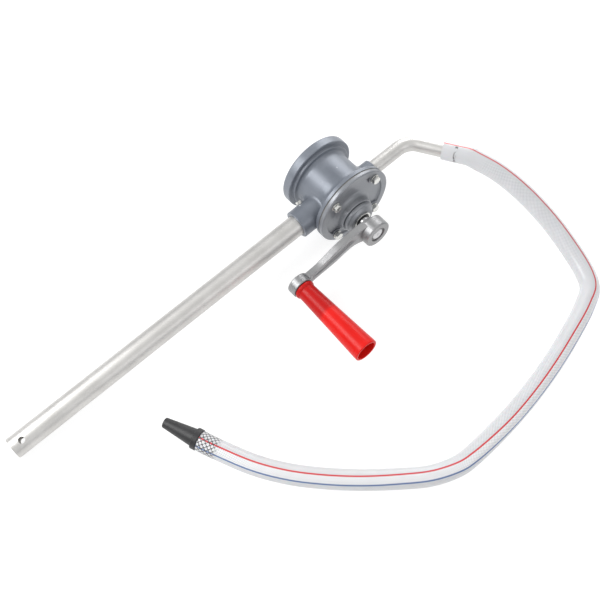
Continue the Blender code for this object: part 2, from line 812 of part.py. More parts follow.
combine(crank, "UNION", hub, boss)
combine(crank, "DIFFERENCE", pocket, boss_bore, crank_screw_hole, hub_bore, hub_recess)
crank_screw = disc(
    "crank_set_screw", SCREW_R, SHAFT_R + GAP, HUB_R - 0.0015, crank_screw_line, COARSE, STEELY
)
moved += [crank, crank_screw]

# Grip turning on a headed spindle, hollow at its free end.
GRIP_BACK = BOSS_FACE + GAP
GRIP_END = GRIP_BACK + GRIP_LENGTH
HOLLOW_FLOOR = GRIP_END - GRIP_HOLLOW_DEPTH
spindle = lathe(
    "grip_spindle",
    [
        (0, BOSS_BACK + 0.0023),
        (SPINDLE_R, BOSS_BACK + 0.0023),
        (SPINDLE_R, HOLLOW_FLOOR + GAP),
        (SPINDLE_HEAD_R, HOLLOW_FLOOR + GAP),
        (SPINDLE_HEAD_R, HOLLOW_FLOOR + GAP + SPINDLE_HEAD_T - 0.0012),
        (SPINDLE_HEAD_R - 0.0020, HOLLOW_FLOOR + GAP + SPINDLE_HEAD_T),
        (0, HOLLOW_FLOOR + GAP + SPINDLE_HEAD_T),
    ],
    boss_line,
    COARSE,
    STEELY,
)
grip_profile = [
    (SPINDLE_R + GAP, GRIP_BACK),
    (GRIP_BEAD_R - 0.0022, GRIP_BACK),
    (GRIP_BEAD_R - 0.0006, GRIP_BACK + 0.0008),
    (GRIP_BEAD_R, GRIP_BACK + 0.5 * GRIP_BEAD_T),
    (GRIP_BEAD_R - 0.0006, GRIP_BACK + GRIP_BEAD_T - 0.0008),
    (GRIP_THIN_R + 0.0003, GRIP_BACK + GRIP_BEAD_T + 0.0008),
    (GRIP_THIN_R, GRIP_BACK + GRIP_BEAD_T + 0.0030),
    (0.5 * (GRIP_THIN_R + GRIP_THICK_R), GRIP_BACK + 0.5 * GRIP_LENGTH),
    (GRIP_THICK_R, GRIP_END - 0.0045),
    (GRIP_THICK_R - 0.0003, GRIP_END - 0.0012),
    (GRIP_THICK_R - 0.0013, GRIP_END),
    (GRIP_THICK_R - GRIP_WALL, GRIP_END),
    (GRIP_THICK_R - GRIP_WALL - 0.0012, HOLLOW_FLOOR),
    (SPINDLE_R + GAP, HOLLOW_FLOOR),
]
grip = lathe("grip", grip_profile, boss_line, MIDDLE, (RED, 0.0, 0.3), closed=True)
moved += [spindle, grip]

# Suction tube with a cross hole near its foot, and the screw that clamps it.
tube = ring(
    "suction_tube",
    TUBE_R,
    TUBE_R - TUBE_WALL,
    TUBE_FOOT,
    TUBE_SEAT,
    tube_line,
    MIDDLE,
    TUBING,
)
lean = math.radians(FOOT_HOLE_LEAN_DEG)
foot_hole_line = frame(
    (TUBE_FOOT + FOOT_HOLE_FROM_END, 0, 0), (0, -math.sin(lean), math.cos(lean)), (1, 0, 0)
)
foot_hole = disc("foot_hole", FOOT_HOLE_R, -0.02, 0.02, foot_hole_line, COARSE)
combine(tube, "DIFFERENCE", foot_hole)
tube_screw = lathe(
    "tube_set_screw",
    [
        (0, TUBE_R + GAP),
        (SCREW_R, TUBE_R + GAP),
        (SCREW_R, INLET_SOCKET_R + GAP),
        (TUBE_SCREW_HEAD_R, INLET_SOCKET_R + GAP),
        (TUBE_SCREW_HEAD_R, INLET_SOCKET_R + GAP + TUBE_SCREW_HEAD_T),
        (0, INLET_SOCKET_R + GAP + TUBE_SCREW_HEAD_T),
    ],
    tube_screw_line,
    COARSE,
    PLATED,
)
moved += [tube, tube_screw]

# Outlet pipe: straight, bend towards the crank, straight.
bend = math.radians(PIPE_BEND_DEG)
arc = np.linspace(0, bend, 10)
centres = [(PIPE_SEAT, 0.0)]
centres += [
    (PIPE_BEND_START + PIPE_BEND_R * math.sin(a), -PIPE_BEND_R * (1 - math.cos(a))) for a in arc
]
heading = Vector((math.cos(bend), -math.sin(bend), 0))
pipe_end = Vector((centres[-1][0], centres[-1][1], 0)) + heading * PIPE_END_LENGTH
centres += [
    (centres[-1][0] + heading.x * 0.004, centres[-1][1] + heading.y * 0.004),
    (pipe_end.x, pipe_end.y),
]
centres.insert(1, (PIPE_BEND_START - 0.004, 0.0))
pipe = sweep(
    "outlet_pipe",
    centres,
    PIPE_R,
    PIPE_R - PIPE_WALL,
    COARSE + 8,
    Matrix.Translation((0, -OUTLET_SHIFT, 0)),
    TUBING,
)
pipe_screw = disc(
    "pipe_set_screw", SCREW_R, PIPE_R + GAP, OUTLET_SOCKET_R - 0.0010, pipe_screw_line, COARSE, STEELY
)
moved += [pipe, pipe_screw]

# Lay the pump down: the plane through the lowest points of both flanges and of the foot.
bpy.context.view_layer.update()


def points_of(obj):
    count = len(obj.data.vertices)
    flat = np.empty(count * 3)
    obj.data.vertices.foreach_get("co", flat)
    turn = np.array(obj.matrix_world)
    return flat.reshape(-1, 3) @ turn[:3, :3].T + turn[:3, 3]


rims = np.concatenate([points_of(body), points_of(cover)])
groups = (rims[rims[:, 1] < 0], rims[rims[:, 1] > 0], points_of(tube))
up = np.array([0.08, -0.045, 1.0])
for _ in range(30):
    front, rear, foot = (group[(group @ up).argmin()] for group in groups)
    up = np.cross(rear - front, foot - front)
    up *= np.sign(up[2]) / np.linalg.norm(up)
level = front @ up
east = np.array([1.0, 0, 0]) - up * up[0]
east /= np.linalg.norm(east)
north = np.cross(up, east)
laid = Matrix([tuple(east) + (0,), tuple(north) + (0,), tuple(up) + (-level,), (0, 0, 0, 1)])
pose.parent = layout
pose.matrix_local = laid
helpers = [obj for obj in bpy.data.objects if obj.hide_render]
for obj in moved + helpers:
    local = obj.matrix_world.copy()
    obj.parent = pose
    obj.matrix_local = local
bpy.context.view_layer.update()

# Nozzle at the free end, lying on its collar.
heading_deg = math.radians(NOZZLE_HEADING_DEG)
nose = Vector((math.cos(heading_deg), math.sin(heading_deg), 0))
nozzle_line = frame(NOZZLE_COLLAR, nose, (0, 0, 1))
nozzle = lathe(
    "hose_nozzle",
    [
        (NOZZLE_BORE_R, 0),
        (NOZZLE_COLLAR_R - 0.0008, 0),
        (NOZZLE_COLLAR_R, 0.0008),
        (NOZZLE_COLLAR_R, NOZZLE_COLLAR_T - 0.0010),
        (NOZZLE_COLLAR_R - 0.0010, NOZZLE_COLLAR_T),
        (NOZZLE_ROOT_R, NOZZLE_COLLAR_T),
        (NOZZLE_TIP_R, NOZZLE_LENGTH - 0.0008),
        (NOZZLE_TIP_R - 0.0008, NOZZLE_LENGTH),
        (NOZZLE_BORE_R, NOZZLE_LENGTH),
    ],
    nozzle_line,
    COARSE,
    (RUBBER, 0.0, 0.5),
    closed=True,
)

# Hose: from the end of the pipe down to the table and round to the nozzle.
pipe_mouth = laid @ (Vector((0, -OUTLET_SHIFT, 0)) + pipe_end)
pipe_heading = (laid.to_3x3() @ heading).normalized()
start = pipe_mouth + pipe_heading * GAP
end = Vector(NOZZLE_COLLAR) - nose * GAP
route = [start, start + pipe_heading * HOSE_LEAD]
route += [Vector(point) for point in HOSE_ROUTE]
route += [end - nose * HOSE_LEAD, end]
per_span = 60
fine = smooth_through([tuple(point) for point in route], per_span * (len(route) - 1) + 1)
curved = fine[per_span:-per_span]
steps = np.linalg.norm(np.diff(curved, axis=0), axis=1)
travelled = np.concatenate([[0], np.cumsum(steps)])
spans = round(float(travelled[-1]) / HOSE_POINT_SPACING)
bends = np.linspace(0, float(travelled[-1]), spans + 1)
knots = np.stack([np.interp(bends, travelled, curved[:, k]) for k in range(3)], 1)
knots = np.concatenate([[tuple(start)], knots, [tuple(end)]])
HOSE_LENGTH = float(np.linalg.norm(np.diff(knots, axis=0), axis=1).sum())
line = bpy.data.curves.new("discharge_hose", "CURVE")
line.dimensions = "3D"
line.bevel_depth = HOSE_R
line.bevel_resolution = 3
line.use_fill_caps = True
spline = line.splines.new("POLY")
spline.points.add(len(knots) - 1)
for point, knot in zip(spline.points, knots):
    point.co = (*knot, 1.0)
spline.use_smooth = True
line.materials.append(material("discharge_hose", CLEAR, 0.0, 0.25))
hose = bpy.data.objects.new("discharge_hose", line)
bpy.context.scene.collection.objects.link(hose)
for obj in (nozzle, hose):
    local = obj.matrix_world.copy()
    obj.parent = layout
    obj.matrix_local = local

# Centre the rigid pump on the origin and stand it on the table.
bpy.context.view_layer.update()
corners = np.concatenate([points_of(obj) for obj in moved])
low, high = corners.min(axis=0), corners.max(axis=0)
layout.location = (-(low[0] + high[0]) / 2, -(low[1] + high[1]) / 2, -low[2])
bpy.context.view_layer.update()

whole = pose.matrix_world
print("layout", [round(v, 5) for v in layout.location], "size", np.round(high - low, 5))
for row in whole:
    print("pose row", [round(v, 6) for v in row])
print("shaft point", [round(v, 5) for v in whole @ Vector((SHAFT_X, -CRANK_BACK, SHAFT_Z))])
print("grip point", [round(v, 5) for v in whole @ (boss_centre + Vector((0, -BOSS_FACE, 0)))])
print("shaft axis", [round(v, 6) for v in whole.to_3x3() @ Vector((0, -1, 0))])
for vane in vanes:
    print(vane.name, [round(v, 6) for v in vane.matrix_world.to_3x3() @ Vector((0, 0, 1))])
print("rear face", [round(v, 5) for v in whole @ Vector((0, -REAR_FACE, 0))])
print("foot face", [round(v, 5) for v in whole @ Vector((TUBE_FOOT, 0, 0))])
print("tube axis", [round(v, 6) for v in whole.to_3x3() @ Vector((1, 0, 0))])
print("hose length", round(HOSE_LENGTH, 4), "points", len(knots))
print("hose start", [round(v, 5) for v in layout.location + start], "end", [round(v, 5) for v in layout.location + end])
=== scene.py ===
import json
import math

import bmesh
import bpy
import numpy as np
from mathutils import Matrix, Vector


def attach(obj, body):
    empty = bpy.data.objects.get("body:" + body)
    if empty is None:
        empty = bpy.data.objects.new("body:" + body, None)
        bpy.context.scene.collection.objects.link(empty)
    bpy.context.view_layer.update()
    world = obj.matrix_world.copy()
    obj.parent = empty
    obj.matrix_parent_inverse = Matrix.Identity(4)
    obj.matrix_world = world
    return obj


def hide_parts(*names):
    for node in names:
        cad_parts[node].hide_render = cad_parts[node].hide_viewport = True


# Drum barrel pump on a pale table: looks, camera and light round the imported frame.
# Sizes inside a piece are in millimetres along the pump's own axes: x up the suction tube,
# y from the crank to the rear flange, z square to both. The row frame is in metres.

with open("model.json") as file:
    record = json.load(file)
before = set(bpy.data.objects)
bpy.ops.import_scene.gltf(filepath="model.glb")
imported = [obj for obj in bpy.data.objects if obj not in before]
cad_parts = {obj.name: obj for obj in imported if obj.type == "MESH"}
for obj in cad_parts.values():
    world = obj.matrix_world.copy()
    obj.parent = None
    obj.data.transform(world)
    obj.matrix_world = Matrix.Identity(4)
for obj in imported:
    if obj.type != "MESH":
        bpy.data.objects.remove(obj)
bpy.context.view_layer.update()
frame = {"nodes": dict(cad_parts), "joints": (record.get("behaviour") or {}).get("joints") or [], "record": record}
print("frame loaded:", len(frame["nodes"]), "nodes")

joints = {joint["name"]: joint for joint in frame["joints"]}
mounts = {mount["name"]: mount for mount in frame["record"]["mounts"]}
mm = 0.001
tau = 2 * math.pi


def unit(vector):
    vector = np.asarray(vector, float)
    return vector / np.linalg.norm(vector)


# The pump's axes in the row frame, from the crank's axis and the tube's.
tubeAxis = -unit(mounts["drum_bung"]["axis"])
crankAxis = unit(joints["crank_turn"]["axis"])
pumpAxes = np.stack([tubeAxis, -crankAxis, unit(np.cross(tubeAxis, -crankAxis))], 1)
crankPivot = np.array([-5.0, -58.6, -4.5])
pumpOrigin = np.array(joints["crank_turn"]["pos_m"]) - pumpAxes @ crankPivot * mm


def placed(points):
    # Pump millimetres to row metres: the axes times the point, plus the origin.
    return np.asarray(points, float) * mm @ pumpAxes.T + pumpOrigin


# Camera and light

view = {
    "place": (-0.332017, -0.457471, 1.150183),
    "turn": (27.3953, 0.0426, -40.7586),
    "lens": 59.21,
}
cameraData = bpy.data.cameras.new("camera")
cameraData.lens = view["lens"]
cameraData.clip_start, cameraData.clip_end = 0.05, 20
camera = bpy.data.objects.new("camera", cameraData)
camera.location = view["place"]
camera.rotation_euler = [math.radians(angle) for angle in view["turn"]]
bpy.context.scene.collection.objects.link(camera)
bpy.context.scene.camera = camera
bpy.context.scene.view_settings.view_transform = "Standard"
bpy.context.scene.view_settings.look = "None"

light = {
    "keyPower": 13.0,
    "fillPower": 3.0,
    "rimPower": 5.0,
    "sky": 0.72,
    "horizon": (0.0, (0.42, 0.42, 0.44, 1)),
    "low": (0.35, (0.62, 0.63, 0.66, 1)),
    "high": (0.85, (1, 1, 1, 1)),
}


def softLight(name, place, aim, width, height, power):
    data = bpy.data.lights.new(name, "AREA")
    data.shape = "RECTANGLE"
    data.size, data.size_y, data.energy = width, height, power
    lamp = bpy.data.objects.new(name, data)
    lamp.location = place
    lamp.rotation_euler = (Vector(aim) - Vector(place)).to_track_quat("-Z", "Y").to_euler()
    bpy.context.scene.collection.objects.link(lamp)


softLight("keyLight", (-0.75, 0.55, 0.95), (0.1, 0, 0.05), 0.9, 0.6, light["keyPower"])
softLight("fillLight", (0.2, -1.1, 0.8), (0.05, -0.05, 0.03), 1.2, 0.5, light["fillPower"])
softLight("rimLight", (0.9, 0.6, 0.5), (0.15, 0, 0.05), 0.5, 0.7, light["rimPower"])

world = bpy.data.worlds.new("studio")
bpy.context.scene.world = world
world.use_nodes = True
wn, wl = world.node_tree.nodes, world.node_tree.links
wn.clear()
worldOut = wn.new("ShaderNodeOutputWorld")
backdrop = wn.new("ShaderNodeBackground")
skyRamp = wn.new("ShaderNodeValToRGB")
skyWay = wn.new("ShaderNodeTexCoord")
skySplit = wn.new("ShaderNodeSeparateXYZ")
tones = skyRamp.color_ramp.elements
tones[0].position, tones[0].color = light["horizon"]
tones[1].position, tones[1].color = light["high"]
middle = tones.new(light["low"][0])
middle.color = light["low"][1]
backdrop.inputs["Strength"].default_value = light["sky"]
wl.new(skyWay.outputs["Generated"], skySplit.inputs[0])
wl.new(skySplit.outputs["Z"], skyRamp.inputs["Fac"])
wl.new(skyRamp.outputs["Color"], backdrop.inputs["Color"])
wl.new(backdrop.outputs[0], worldOut.inputs["Surface"])

# Node groups and materials


def newGroup(name, inputs, outputs):
    # A shader node group of plain numbers, with the starting value of each input.
    made = bpy.data.node_groups.new(name, "ShaderNodeTree")
    for label, value in inputs.items():
        socket = made.interface.new_socket(label, in_out="INPUT", socket_type="NodeSocketFloat")
        socket.default_value = value
    for label in outputs:
        made.interface.new_socket(label, in_out="OUTPUT", socket_type="NodeSocketFloat")
    return made, made.nodes.new("NodeGroupInput"), made.nodes.new("NodeGroupOutput")


def node(tree, kind, values=(), **settings):
    made = tree.nodes.new(kind)
    for key, value in settings.items():
        setattr(made, key, value)
    for key, value in dict(values).items():
        made.inputs[key].default_value = value
    return made


def math2(tree, operation, a, b=None):
    # One math node on two sockets or numbers.
    made = node(tree, "ShaderNodeMath", operation=operation)
    for slot, value in enumerate((a, b)):
        if isinstance(value, bpy.types.NodeSocket):
            tree.links.new(value, made.inputs[slot])
        elif value is not None:
            made.inputs[slot].default_value = value
    return made.outputs[0]


def ramp(tree, socket, low, high):
    # Zero below low, one above high, smooth between.
    made = node(
        tree, "ShaderNodeMapRange", {"From Min": low, "From Max": high}, interpolation_type="SMOOTHSTEP"
    )
    tree.links.new(socket, made.inputs["Value"])
    return made.outputs["Result"]


def makeGrain():
    # Two sizes of noise on the object's own coordinates, as height, blotches and specks.
    group, come, go = newGroup(
        "surfaceGrain", {"Grain Size": 700.0, "Blotch Size": 22.0}, ["Height", "Blotch", "Specks"]
    )
    place = node(group, "ShaderNodeTexCoord")
    fine = node(group, "ShaderNodeTexNoise", {"Detail": 3.0, "Roughness": 0.6})
    blotch = node(group, "ShaderNodeTexNoise", {"Detail": 4.0, "Roughness": 0.55})
    specks = node(group, "ShaderNodeTexNoise", {"Detail": 2.0, "Roughness": 0.7})
    sizes = ((fine, "Grain Size", 1.0), (blotch, "Blotch Size", 1.0), (specks, "Grain Size", 0.35))
    for texture, size, times in sizes:
        group.links.new(place.outputs["Object"], texture.inputs["Vector"])
        group.links.new(math2(group, "MULTIPLY", come.outputs[size], times), texture.inputs["Scale"])
    group.links.new(fine.outputs["Fac"], go.inputs["Height"])
    group.links.new(ramp(group, blotch.outputs["Fac"], 0.32, 0.68), go.inputs["Blotch"])
    group.links.new(ramp(group, specks.outputs["Fac"], 0.70, 0.80), go.inputs["Specks"])
    return group


def makeTurning():
    # Fine lines across the UV's second direction, as a lathe or a drawing die leaves.
    group, come, go = newGroup("toolMarks", {"Along": 9000.0, "Across": 20.0}, ["Height", "Streak"])
    coords = node(group, "ShaderNodeTexCoord")
    scale = node(group, "ShaderNodeCombineXYZ")
    group.links.new(come.outputs["Across"], scale.inputs["X"])
    group.links.new(come.outputs["Along"], scale.inputs["Y"])
    spread = node(group, "ShaderNodeVectorMath", operation="MULTIPLY")
    group.links.new(coords.outputs["UV"], spread.inputs[0])
    group.links.new(scale.outputs[0], spread.inputs[1])
    lines = node(group, "ShaderNodeTexNoise", {"Scale": 1.0, "Detail": 2.0, "Roughness": 0.5})
    group.links.new(spread.outputs[0], lines.inputs["Vector"])
    group.links.new(lines.outputs["Fac"], go.inputs["Height"])
    group.links.new(ramp(group, lines.outputs["Fac"], 0.35, 0.65), go.inputs["Streak"])
    return group


grainGroup, turningGroup = makeGrain(), makeTurning()


def newSurface(name, **values):
    made = bpy.data.materials.new(name)
    made.use_nodes = True
    shader = made.node_tree.nodes["Principled BSDF"]
    for label, value in values.items():
        shader.inputs[label.replace("_", " ")].default_value = value
    return made, made.node_tree, shader


def group(tree, source, **values):
    made = tree.nodes.new("ShaderNodeGroup")
    made.node_tree = source
    for label, value in values.items():
        made.inputs[label.replace("_", " ")].default_value = value
    return made


def mixed(tree, mask, one, two):
    # A colour between two, by the mask. Each is a colour or a socket.
    made = node(tree, "ShaderNodeMix", data_type="RGBA")
    tree.links.new(mask, made.inputs[0])
    for slot, value in ((6, one), (7, two)):
        if isinstance(value, bpy.types.NodeSocket):
            tree.links.new(value, made.inputs[slot])
        else:
            made.inputs[slot].default_value = (*value, 1)
    return made.outputs[2]


def between(tree, mask, low, high):
    # A number from low to high, by the mask.
    made = node(tree, "ShaderNodeMapRange", {"To Min": low, "To Max": high})
    tree.links.new(mask, made.inputs["Value"])
    return made.outputs["Result"]


def bumped(tree, shader, height, strength, distance):
    made = node(tree, "ShaderNodeBump", {"Strength": strength, "Distance": distance})
    tree.links.new(height, made.inputs["Height"])
    tree.links.new(made.outputs["Normal"], shader.inputs["Normal"])


def roughened(tree, shader, mask, low, high):
    tree.links.new(between(tree, mask, low, high), shader.inputs["Roughness"])


def coatedPaint(name, dark, pale, dust, roughness, metallic, bump):
    # Sprayed paint on a casting: soft blotches, orange peel and pale specks of dust.
    made, tree, shader = newSurface(name, Metallic=metallic, Coat_Weight=0.12, Coat_Roughness=0.3)
    grain = group(tree, grainGroup, Grain_Size=420.0, Blotch_Size=26.0)
    tone = mixed(tree, grain.outputs["Blotch"], dark, pale)
    speck = mixed(tree, grain.outputs["Specks"], tone, dust)
    tree.links.new(speck, shader.inputs["Base Color"])
    roughened(tree, shader, grain.outputs["Blotch"], roughness - 0.04, roughness + 0.05)
    bumped(tree, shader, grain.outputs["Height"], bump, 0.0006)
    return made


def bareMetal(
    name, dark, pale, roughness, metallic, bump, grainSize=900.0, along=2500.0, across=14.0, marks=0.25
):
    # Metal with its own tone changes, fine grain and the lines of a tool.
    made, tree, shader = newSurface(name, Metallic=metallic)
    grain = group(tree, grainGroup, Grain_Size=grainSize, Blotch_Size=34.0)
    lines = group(tree, turningGroup, Along=along, Across=across)
    tone = mixed(tree, grain.outputs["Blotch"], dark, pale)
    streak = mixed(tree, lines.outputs["Streak"], tone, pale)
    tree.links.new(streak, shader.inputs["Base Color"])
    roughened(tree, shader, lines.outputs["Streak"], roughness - 0.05, roughness + 0.06)
    rough = math2(tree, "MULTIPLY", grain.outputs["Height"], 1 - marks)
    lined = math2(tree, "MULTIPLY", lines.outputs["Height"], marks)
    bumped(tree, shader, math2(tree, "ADD", rough, lined), bump, 0.0004)
    return made


def plainMoulding(name, dark, pale, roughness, bump, grainSize=500.0):
    # Moulded rubber, fibre or plastic with a faint grain.
    made, tree, shader = newSurface(name)
    grain = group(tree, grainGroup, Grain_Size=grainSize, Blotch_Size=40.0)
    tree.links.new(mixed(tree, grain.outputs["Blotch"], dark, pale), shader.inputs["Base Color"])
    roughened(tree, shader, grain.outputs["Blotch"], roughness - 0.04, roughness + 0.05)
    bumped(tree, shader, grain.outputs["Height"], bump, 0.0004)
    return made


finish = {
    "casingPaint": coatedPaint(
        "casingPaint", (0.165, 0.183, 0.215), (0.205, 0.224, 0.258), (0.33, 0.35, 0.38), 0.40, 0.30, 0.12
    ),
    "coverPaint": coatedPaint(
        "coverPaint", (0.228, 0.240, 0.262), (0.275, 0.286, 0.305), (0.38, 0.38, 0.39), 0.38, 0.38, 0.12
    ),
    "castAluminium": bareMetal(
        "castAluminium", (0.27, 0.271, 0.277), (0.345, 0.346, 0.35), 0.42, 0.75, 0.28, 1300.0, marks=0.05
    ),
    "drawnAluminium": bareMetal(
        "drawnAluminium", (0.53, 0.52, 0.50), (0.65, 0.64, 0.62), 0.46, 0.85, 0.08, 700.0, 30.0, 3500.0, 0.5
    ),
    "zincPlate": bareMetal(
        "zincPlate", (0.60, 0.60, 0.57), (0.80, 0.80, 0.77), 0.22, 1.0, 0.10, 900.0, 4000.0, 20.0
    ),
    "turnedSteel": bareMetal(
        "turnedSteel", (0.42, 0.42, 0.43), (0.60, 0.60, 0.61), 0.26, 1.0, 0.12, 900.0, 5200.0, 12.0, 0.6
    ),
    "bushBronze": bareMetal("bushBronze", (0.40, 0.24, 0.10), (0.55, 0.36, 0.16), 0.35, 0.95, 0.12),
    "blackRubber": plainMoulding("blackRubber", (0.018, 0.018, 0.019), (0.032, 0.032, 0.034), 0.48, 0.15),
    "gasketFibre": plainMoulding(
        "gasketFibre", (0.10, 0.095, 0.085), (0.17, 0.16, 0.14), 0.8, 0.35, grainSize=1500.0
    ),
}


def makeGripPlastic():
    # Glossy red moulding, a little darker where it meets the crank.
    made, tree, shader = newSurface(
        "gripPlastic", Coat_Weight=0.05, Coat_Roughness=0.14, Specular_IOR_Level=0.16
    )
    grain = group(tree, grainGroup, Grain_Size=260.0, Blotch_Size=30.0)
    place = node(tree, "ShaderNodeTexCoord")
    along = node(tree, "ShaderNodeSeparateXYZ")
    tree.links.new(place.outputs["UV"], along.inputs[0])
    body = mixed(tree, grain.outputs["Blotch"], (0.67, 0.010, 0.007), (0.74, 0.013, 0.009))
    root = mixed(tree, ramp(tree, along.outputs["Y"], 0.053, 0.060), (0.48, 0.008, 0.007), body)
    tree.links.new(root, shader.inputs["Base Color"])
    roughened(tree, shader, grain.outputs["Blotch"], 0.30, 0.38)
    bumped(tree, shader, grain.outputs["Height"], 0.05, 0.0005)
    return made


finish["gripPlastic"] = makeGripPlastic()

# Stripes are at shares of a turn, the weave is in threads per turn and per metre, and the twist
# pairs a length from the mouth in metres with the share of a turn where the red stripe lies.
hoseLook = {
    "redAt": 0.5,
    "blueAt": 0.358,
    "stripeHalf": 0.0125,
    "weaveAround": 15.0,
    "weaveAlong": 190.0,
    "sleeve": 0.0165,
    "barb": 0.032,
    "capRun": 0.0251,
    "twist": (
        (0.0, 0.965), (0.25, 0.958), (0.36, 1.002), (0.50, 0.995), (0.61, 1.066), (0.70, 1.038),
        (0.90, 1.030),
    ),
    "twistSoft": 20,
    "netCoarse": 0.47,
}


def makeHoseWeave():
    # Cloudy vinyl over a fine diamond weave, with a red and a blue line along it. UV x is the
    # share of a turn round the hose and UV y the metres from its mouth on the pipe.
    look = hoseLook
    made, tree, shader = newSurface(
        "hoseWeave", Coat_Weight=0.4, Coat_Roughness=0.20, Subsurface_Weight=0.05
    )
    shader.inputs["Subsurface Scale"].default_value = 0.002
    place = node(tree, "ShaderNodeTexCoord")
    split = node(tree, "ShaderNodeSeparateXYZ")
    tree.links.new(place.outputs["UV"], split.inputs[0])
    around, along = split.outputs["X"], math2(tree, "SUBTRACT", split.outputs["Y"], look["capRun"])

    def thread(sign, coarse=1.0):
        turns = math2(tree, "MULTIPLY", around, round(look["weaveAround"] * coarse) * sign)
        runs = math2(tree, "MULTIPLY", along, look["weaveAlong"] * coarse)
        wave = math2(tree, "SINE", math2(tree, "MULTIPLY", math2(tree, "ADD", turns, runs), tau))
        return math2(tree, "ABSOLUTE", wave)

    weave = math2(tree, "MULTIPLY", thread(1), thread(-1))
    net = look["netCoarse"]
    braid = math2(tree, "MULTIPLY", thread(1, net), thread(-1, net))

    def stripe(centre):
        away = math2(tree, "ABSOLUTE", math2(tree, "SUBTRACT", around, centre))
        half = look["stripeHalf"]
        return math2(tree, "SUBTRACT", 1.0, ramp(tree, away, half * 0.75, half * 1.25))

    # The hose is painted pale between the two lines, as painted light on that side, and grey round the rest, as
    # painted shade.
    middleAt = (look["redAt"] + look["blueAt"]) / 2
    halfGap = abs(look["blueAt"] - look["redAt"]) / 2
    off = math2(tree, "ABSOLUTE", math2(tree, "SUBTRACT", around, middleAt))
    outside = ramp(tree, off, halfGap, halfGap + 0.02)
    paintedLightTone = mixed(tree, outside, (0.90, 0.90, 0.905), (0.68, 0.685, 0.695))
    clouds = node(tree, "ShaderNodeTexNoise", {"Scale": 60.0, "Detail": 3.0})
    tree.links.new(place.outputs["Object"], clouds.inputs["Vector"])
    haze = math2(tree, "MULTIPLY", ramp(tree, clouds.outputs["Fac"], 0.35, 0.75), 0.3)
    cloudy = mixed(tree, haze, paintedLightTone, (0.80, 0.80, 0.81))
    woven = mixed(tree, ramp(tree, weave, 0.02, 0.40), (0.42, 0.43, 0.45), cloudy)
    red = mixed(tree, stripe(look["redAt"]), woven, (0.60, 0.035, 0.045))
    blue = mixed(tree, stripe(look["blueAt"]), red, (0.10, 0.17, 0.35))
    # The pipe's end shows through near the mouth, and the nozzle's black tail near the far end.
    grime = node(tree, "ShaderNodeTexNoise", {"Scale": 260.0, "Detail": 2.0})
    tree.links.new(place.outputs["Object"], grime.inputs["Vector"])
    nearPipe = math2(tree, "ABSOLUTE", math2(tree, "SUBTRACT", along, look["sleeve"] + 0.0015))
    ring = math2(tree, "SUBTRACT", 1.0, ramp(tree, nearPipe, 0.001, 0.003))
    marks = math2(tree, "MULTIPLY", ring, ramp(tree, grime.outputs["Fac"], 0.52, 0.60))
    pipeEnd = mixed(tree, marks, blue, (0.05, 0.05, 0.05))
    tailAt = hoseLength + look["sleeve"] - look["barb"]
    tail = ramp(tree, along, tailAt - 0.006, tailAt + 0.004)
    mesh = math2(tree, "MULTIPLY", tail, math2(tree, "SUBTRACT", 1.0, ramp(tree, braid, 0.22, 0.42)))
    shade = math2(tree, "ADD", math2(tree, "MULTIPLY", mesh, 0.86), math2(tree, "MULTIPLY", tail, 0.06))
    tree.links.new(mixed(tree, shade, pipeEnd, (0.045, 0.045, 0.05)), shader.inputs["Base Color"])
    roughened(tree, shader, clouds.outputs["Fac"], 0.32, 0.46)
    bumped(tree, shader, weave, 0.18, 0.0004)
    return made


# Surfaces on grids


def rounded(corners, steps=6):
    # A profile of (radius, height, fillet): each corner becomes a curve that leaves one edge and
    # joins the next at the fillet's distance, with a point close by on each straight run.
    spots = np.array([corner[:2] for corner in corners], float)
    made = [spots[0]]
    for k in range(1, len(spots) - 1):
        back, ahead = spots[k - 1] - spots[k], spots[k + 1] - spots[k]
        room = 0.45 * min(np.linalg.norm(back), np.linalg.norm(ahead))
        cut = min(corners[k][2], room)
        if cut <= 0:
            made.append(spots[k])
            continue
        a, b = spots[k] + unit(back) * cut, spots[k] + unit(ahead) * cut
        t = np.linspace(0, 1, steps + 1)[:, None]
        made.append(a + unit(back) * cut * 0.15)
        made.extend((1 - t) ** 2 * a + 2 * t * (1 - t) * spots[k] + t**2 * b)
        made.append(b + unit(ahead) * cut * 0.15)
    made.append(spots[-1])
    return np.array(made)


def axisLine(origin, along, side):
    # Origin and three directions: side, up and along.
    z = unit(along)
    x = unit(np.asarray(side, float) - z * np.dot(side, z))
    return np.asarray(origin, float), x, np.cross(z, x), z


def turned(profile, line, steps=144):
    # Points at origin + along * height + radius * (side * cos a + up * sin a).
    origin, x, y, z = line
    angles = np.arange(steps) * tau / steps
    circle = np.cos(angles)[:, None] * x + np.sin(angles)[:, None] * y
    return origin + profile[:, 1, None, None] * z + profile[:, 0, None, None] * circle[None]


def swept(path, radius, side, steps=64, twist=0.0):
    # Points at path + radius * (normal * cos a + binormal * sin a), with the normal kept from
    # turning by carrying side along the path.
    path = np.asarray(path, float)
    along = np.gradient(path, axis=0)
    along /= np.linalg.norm(along, axis=1)[:, None]
    normals = np.empty_like(path)
    carried = np.asarray(side, float)
    for k, way in enumerate(along):
        carried = unit(carried - way * np.dot(carried, way))
        normals[k] = carried
    across = np.cross(along, normals)
    angles = (np.arange(steps) * tau / steps)[None] + np.broadcast_to(twist, len(path))[:, None]
    wide = np.broadcast_to(radius, len(path)).reshape(-1, 1, 1)
    circle = np.cos(angles)[..., None] * normals[:, None] + np.sin(angles)[..., None] * across[:, None]
    return path[:, None] + wide * circle


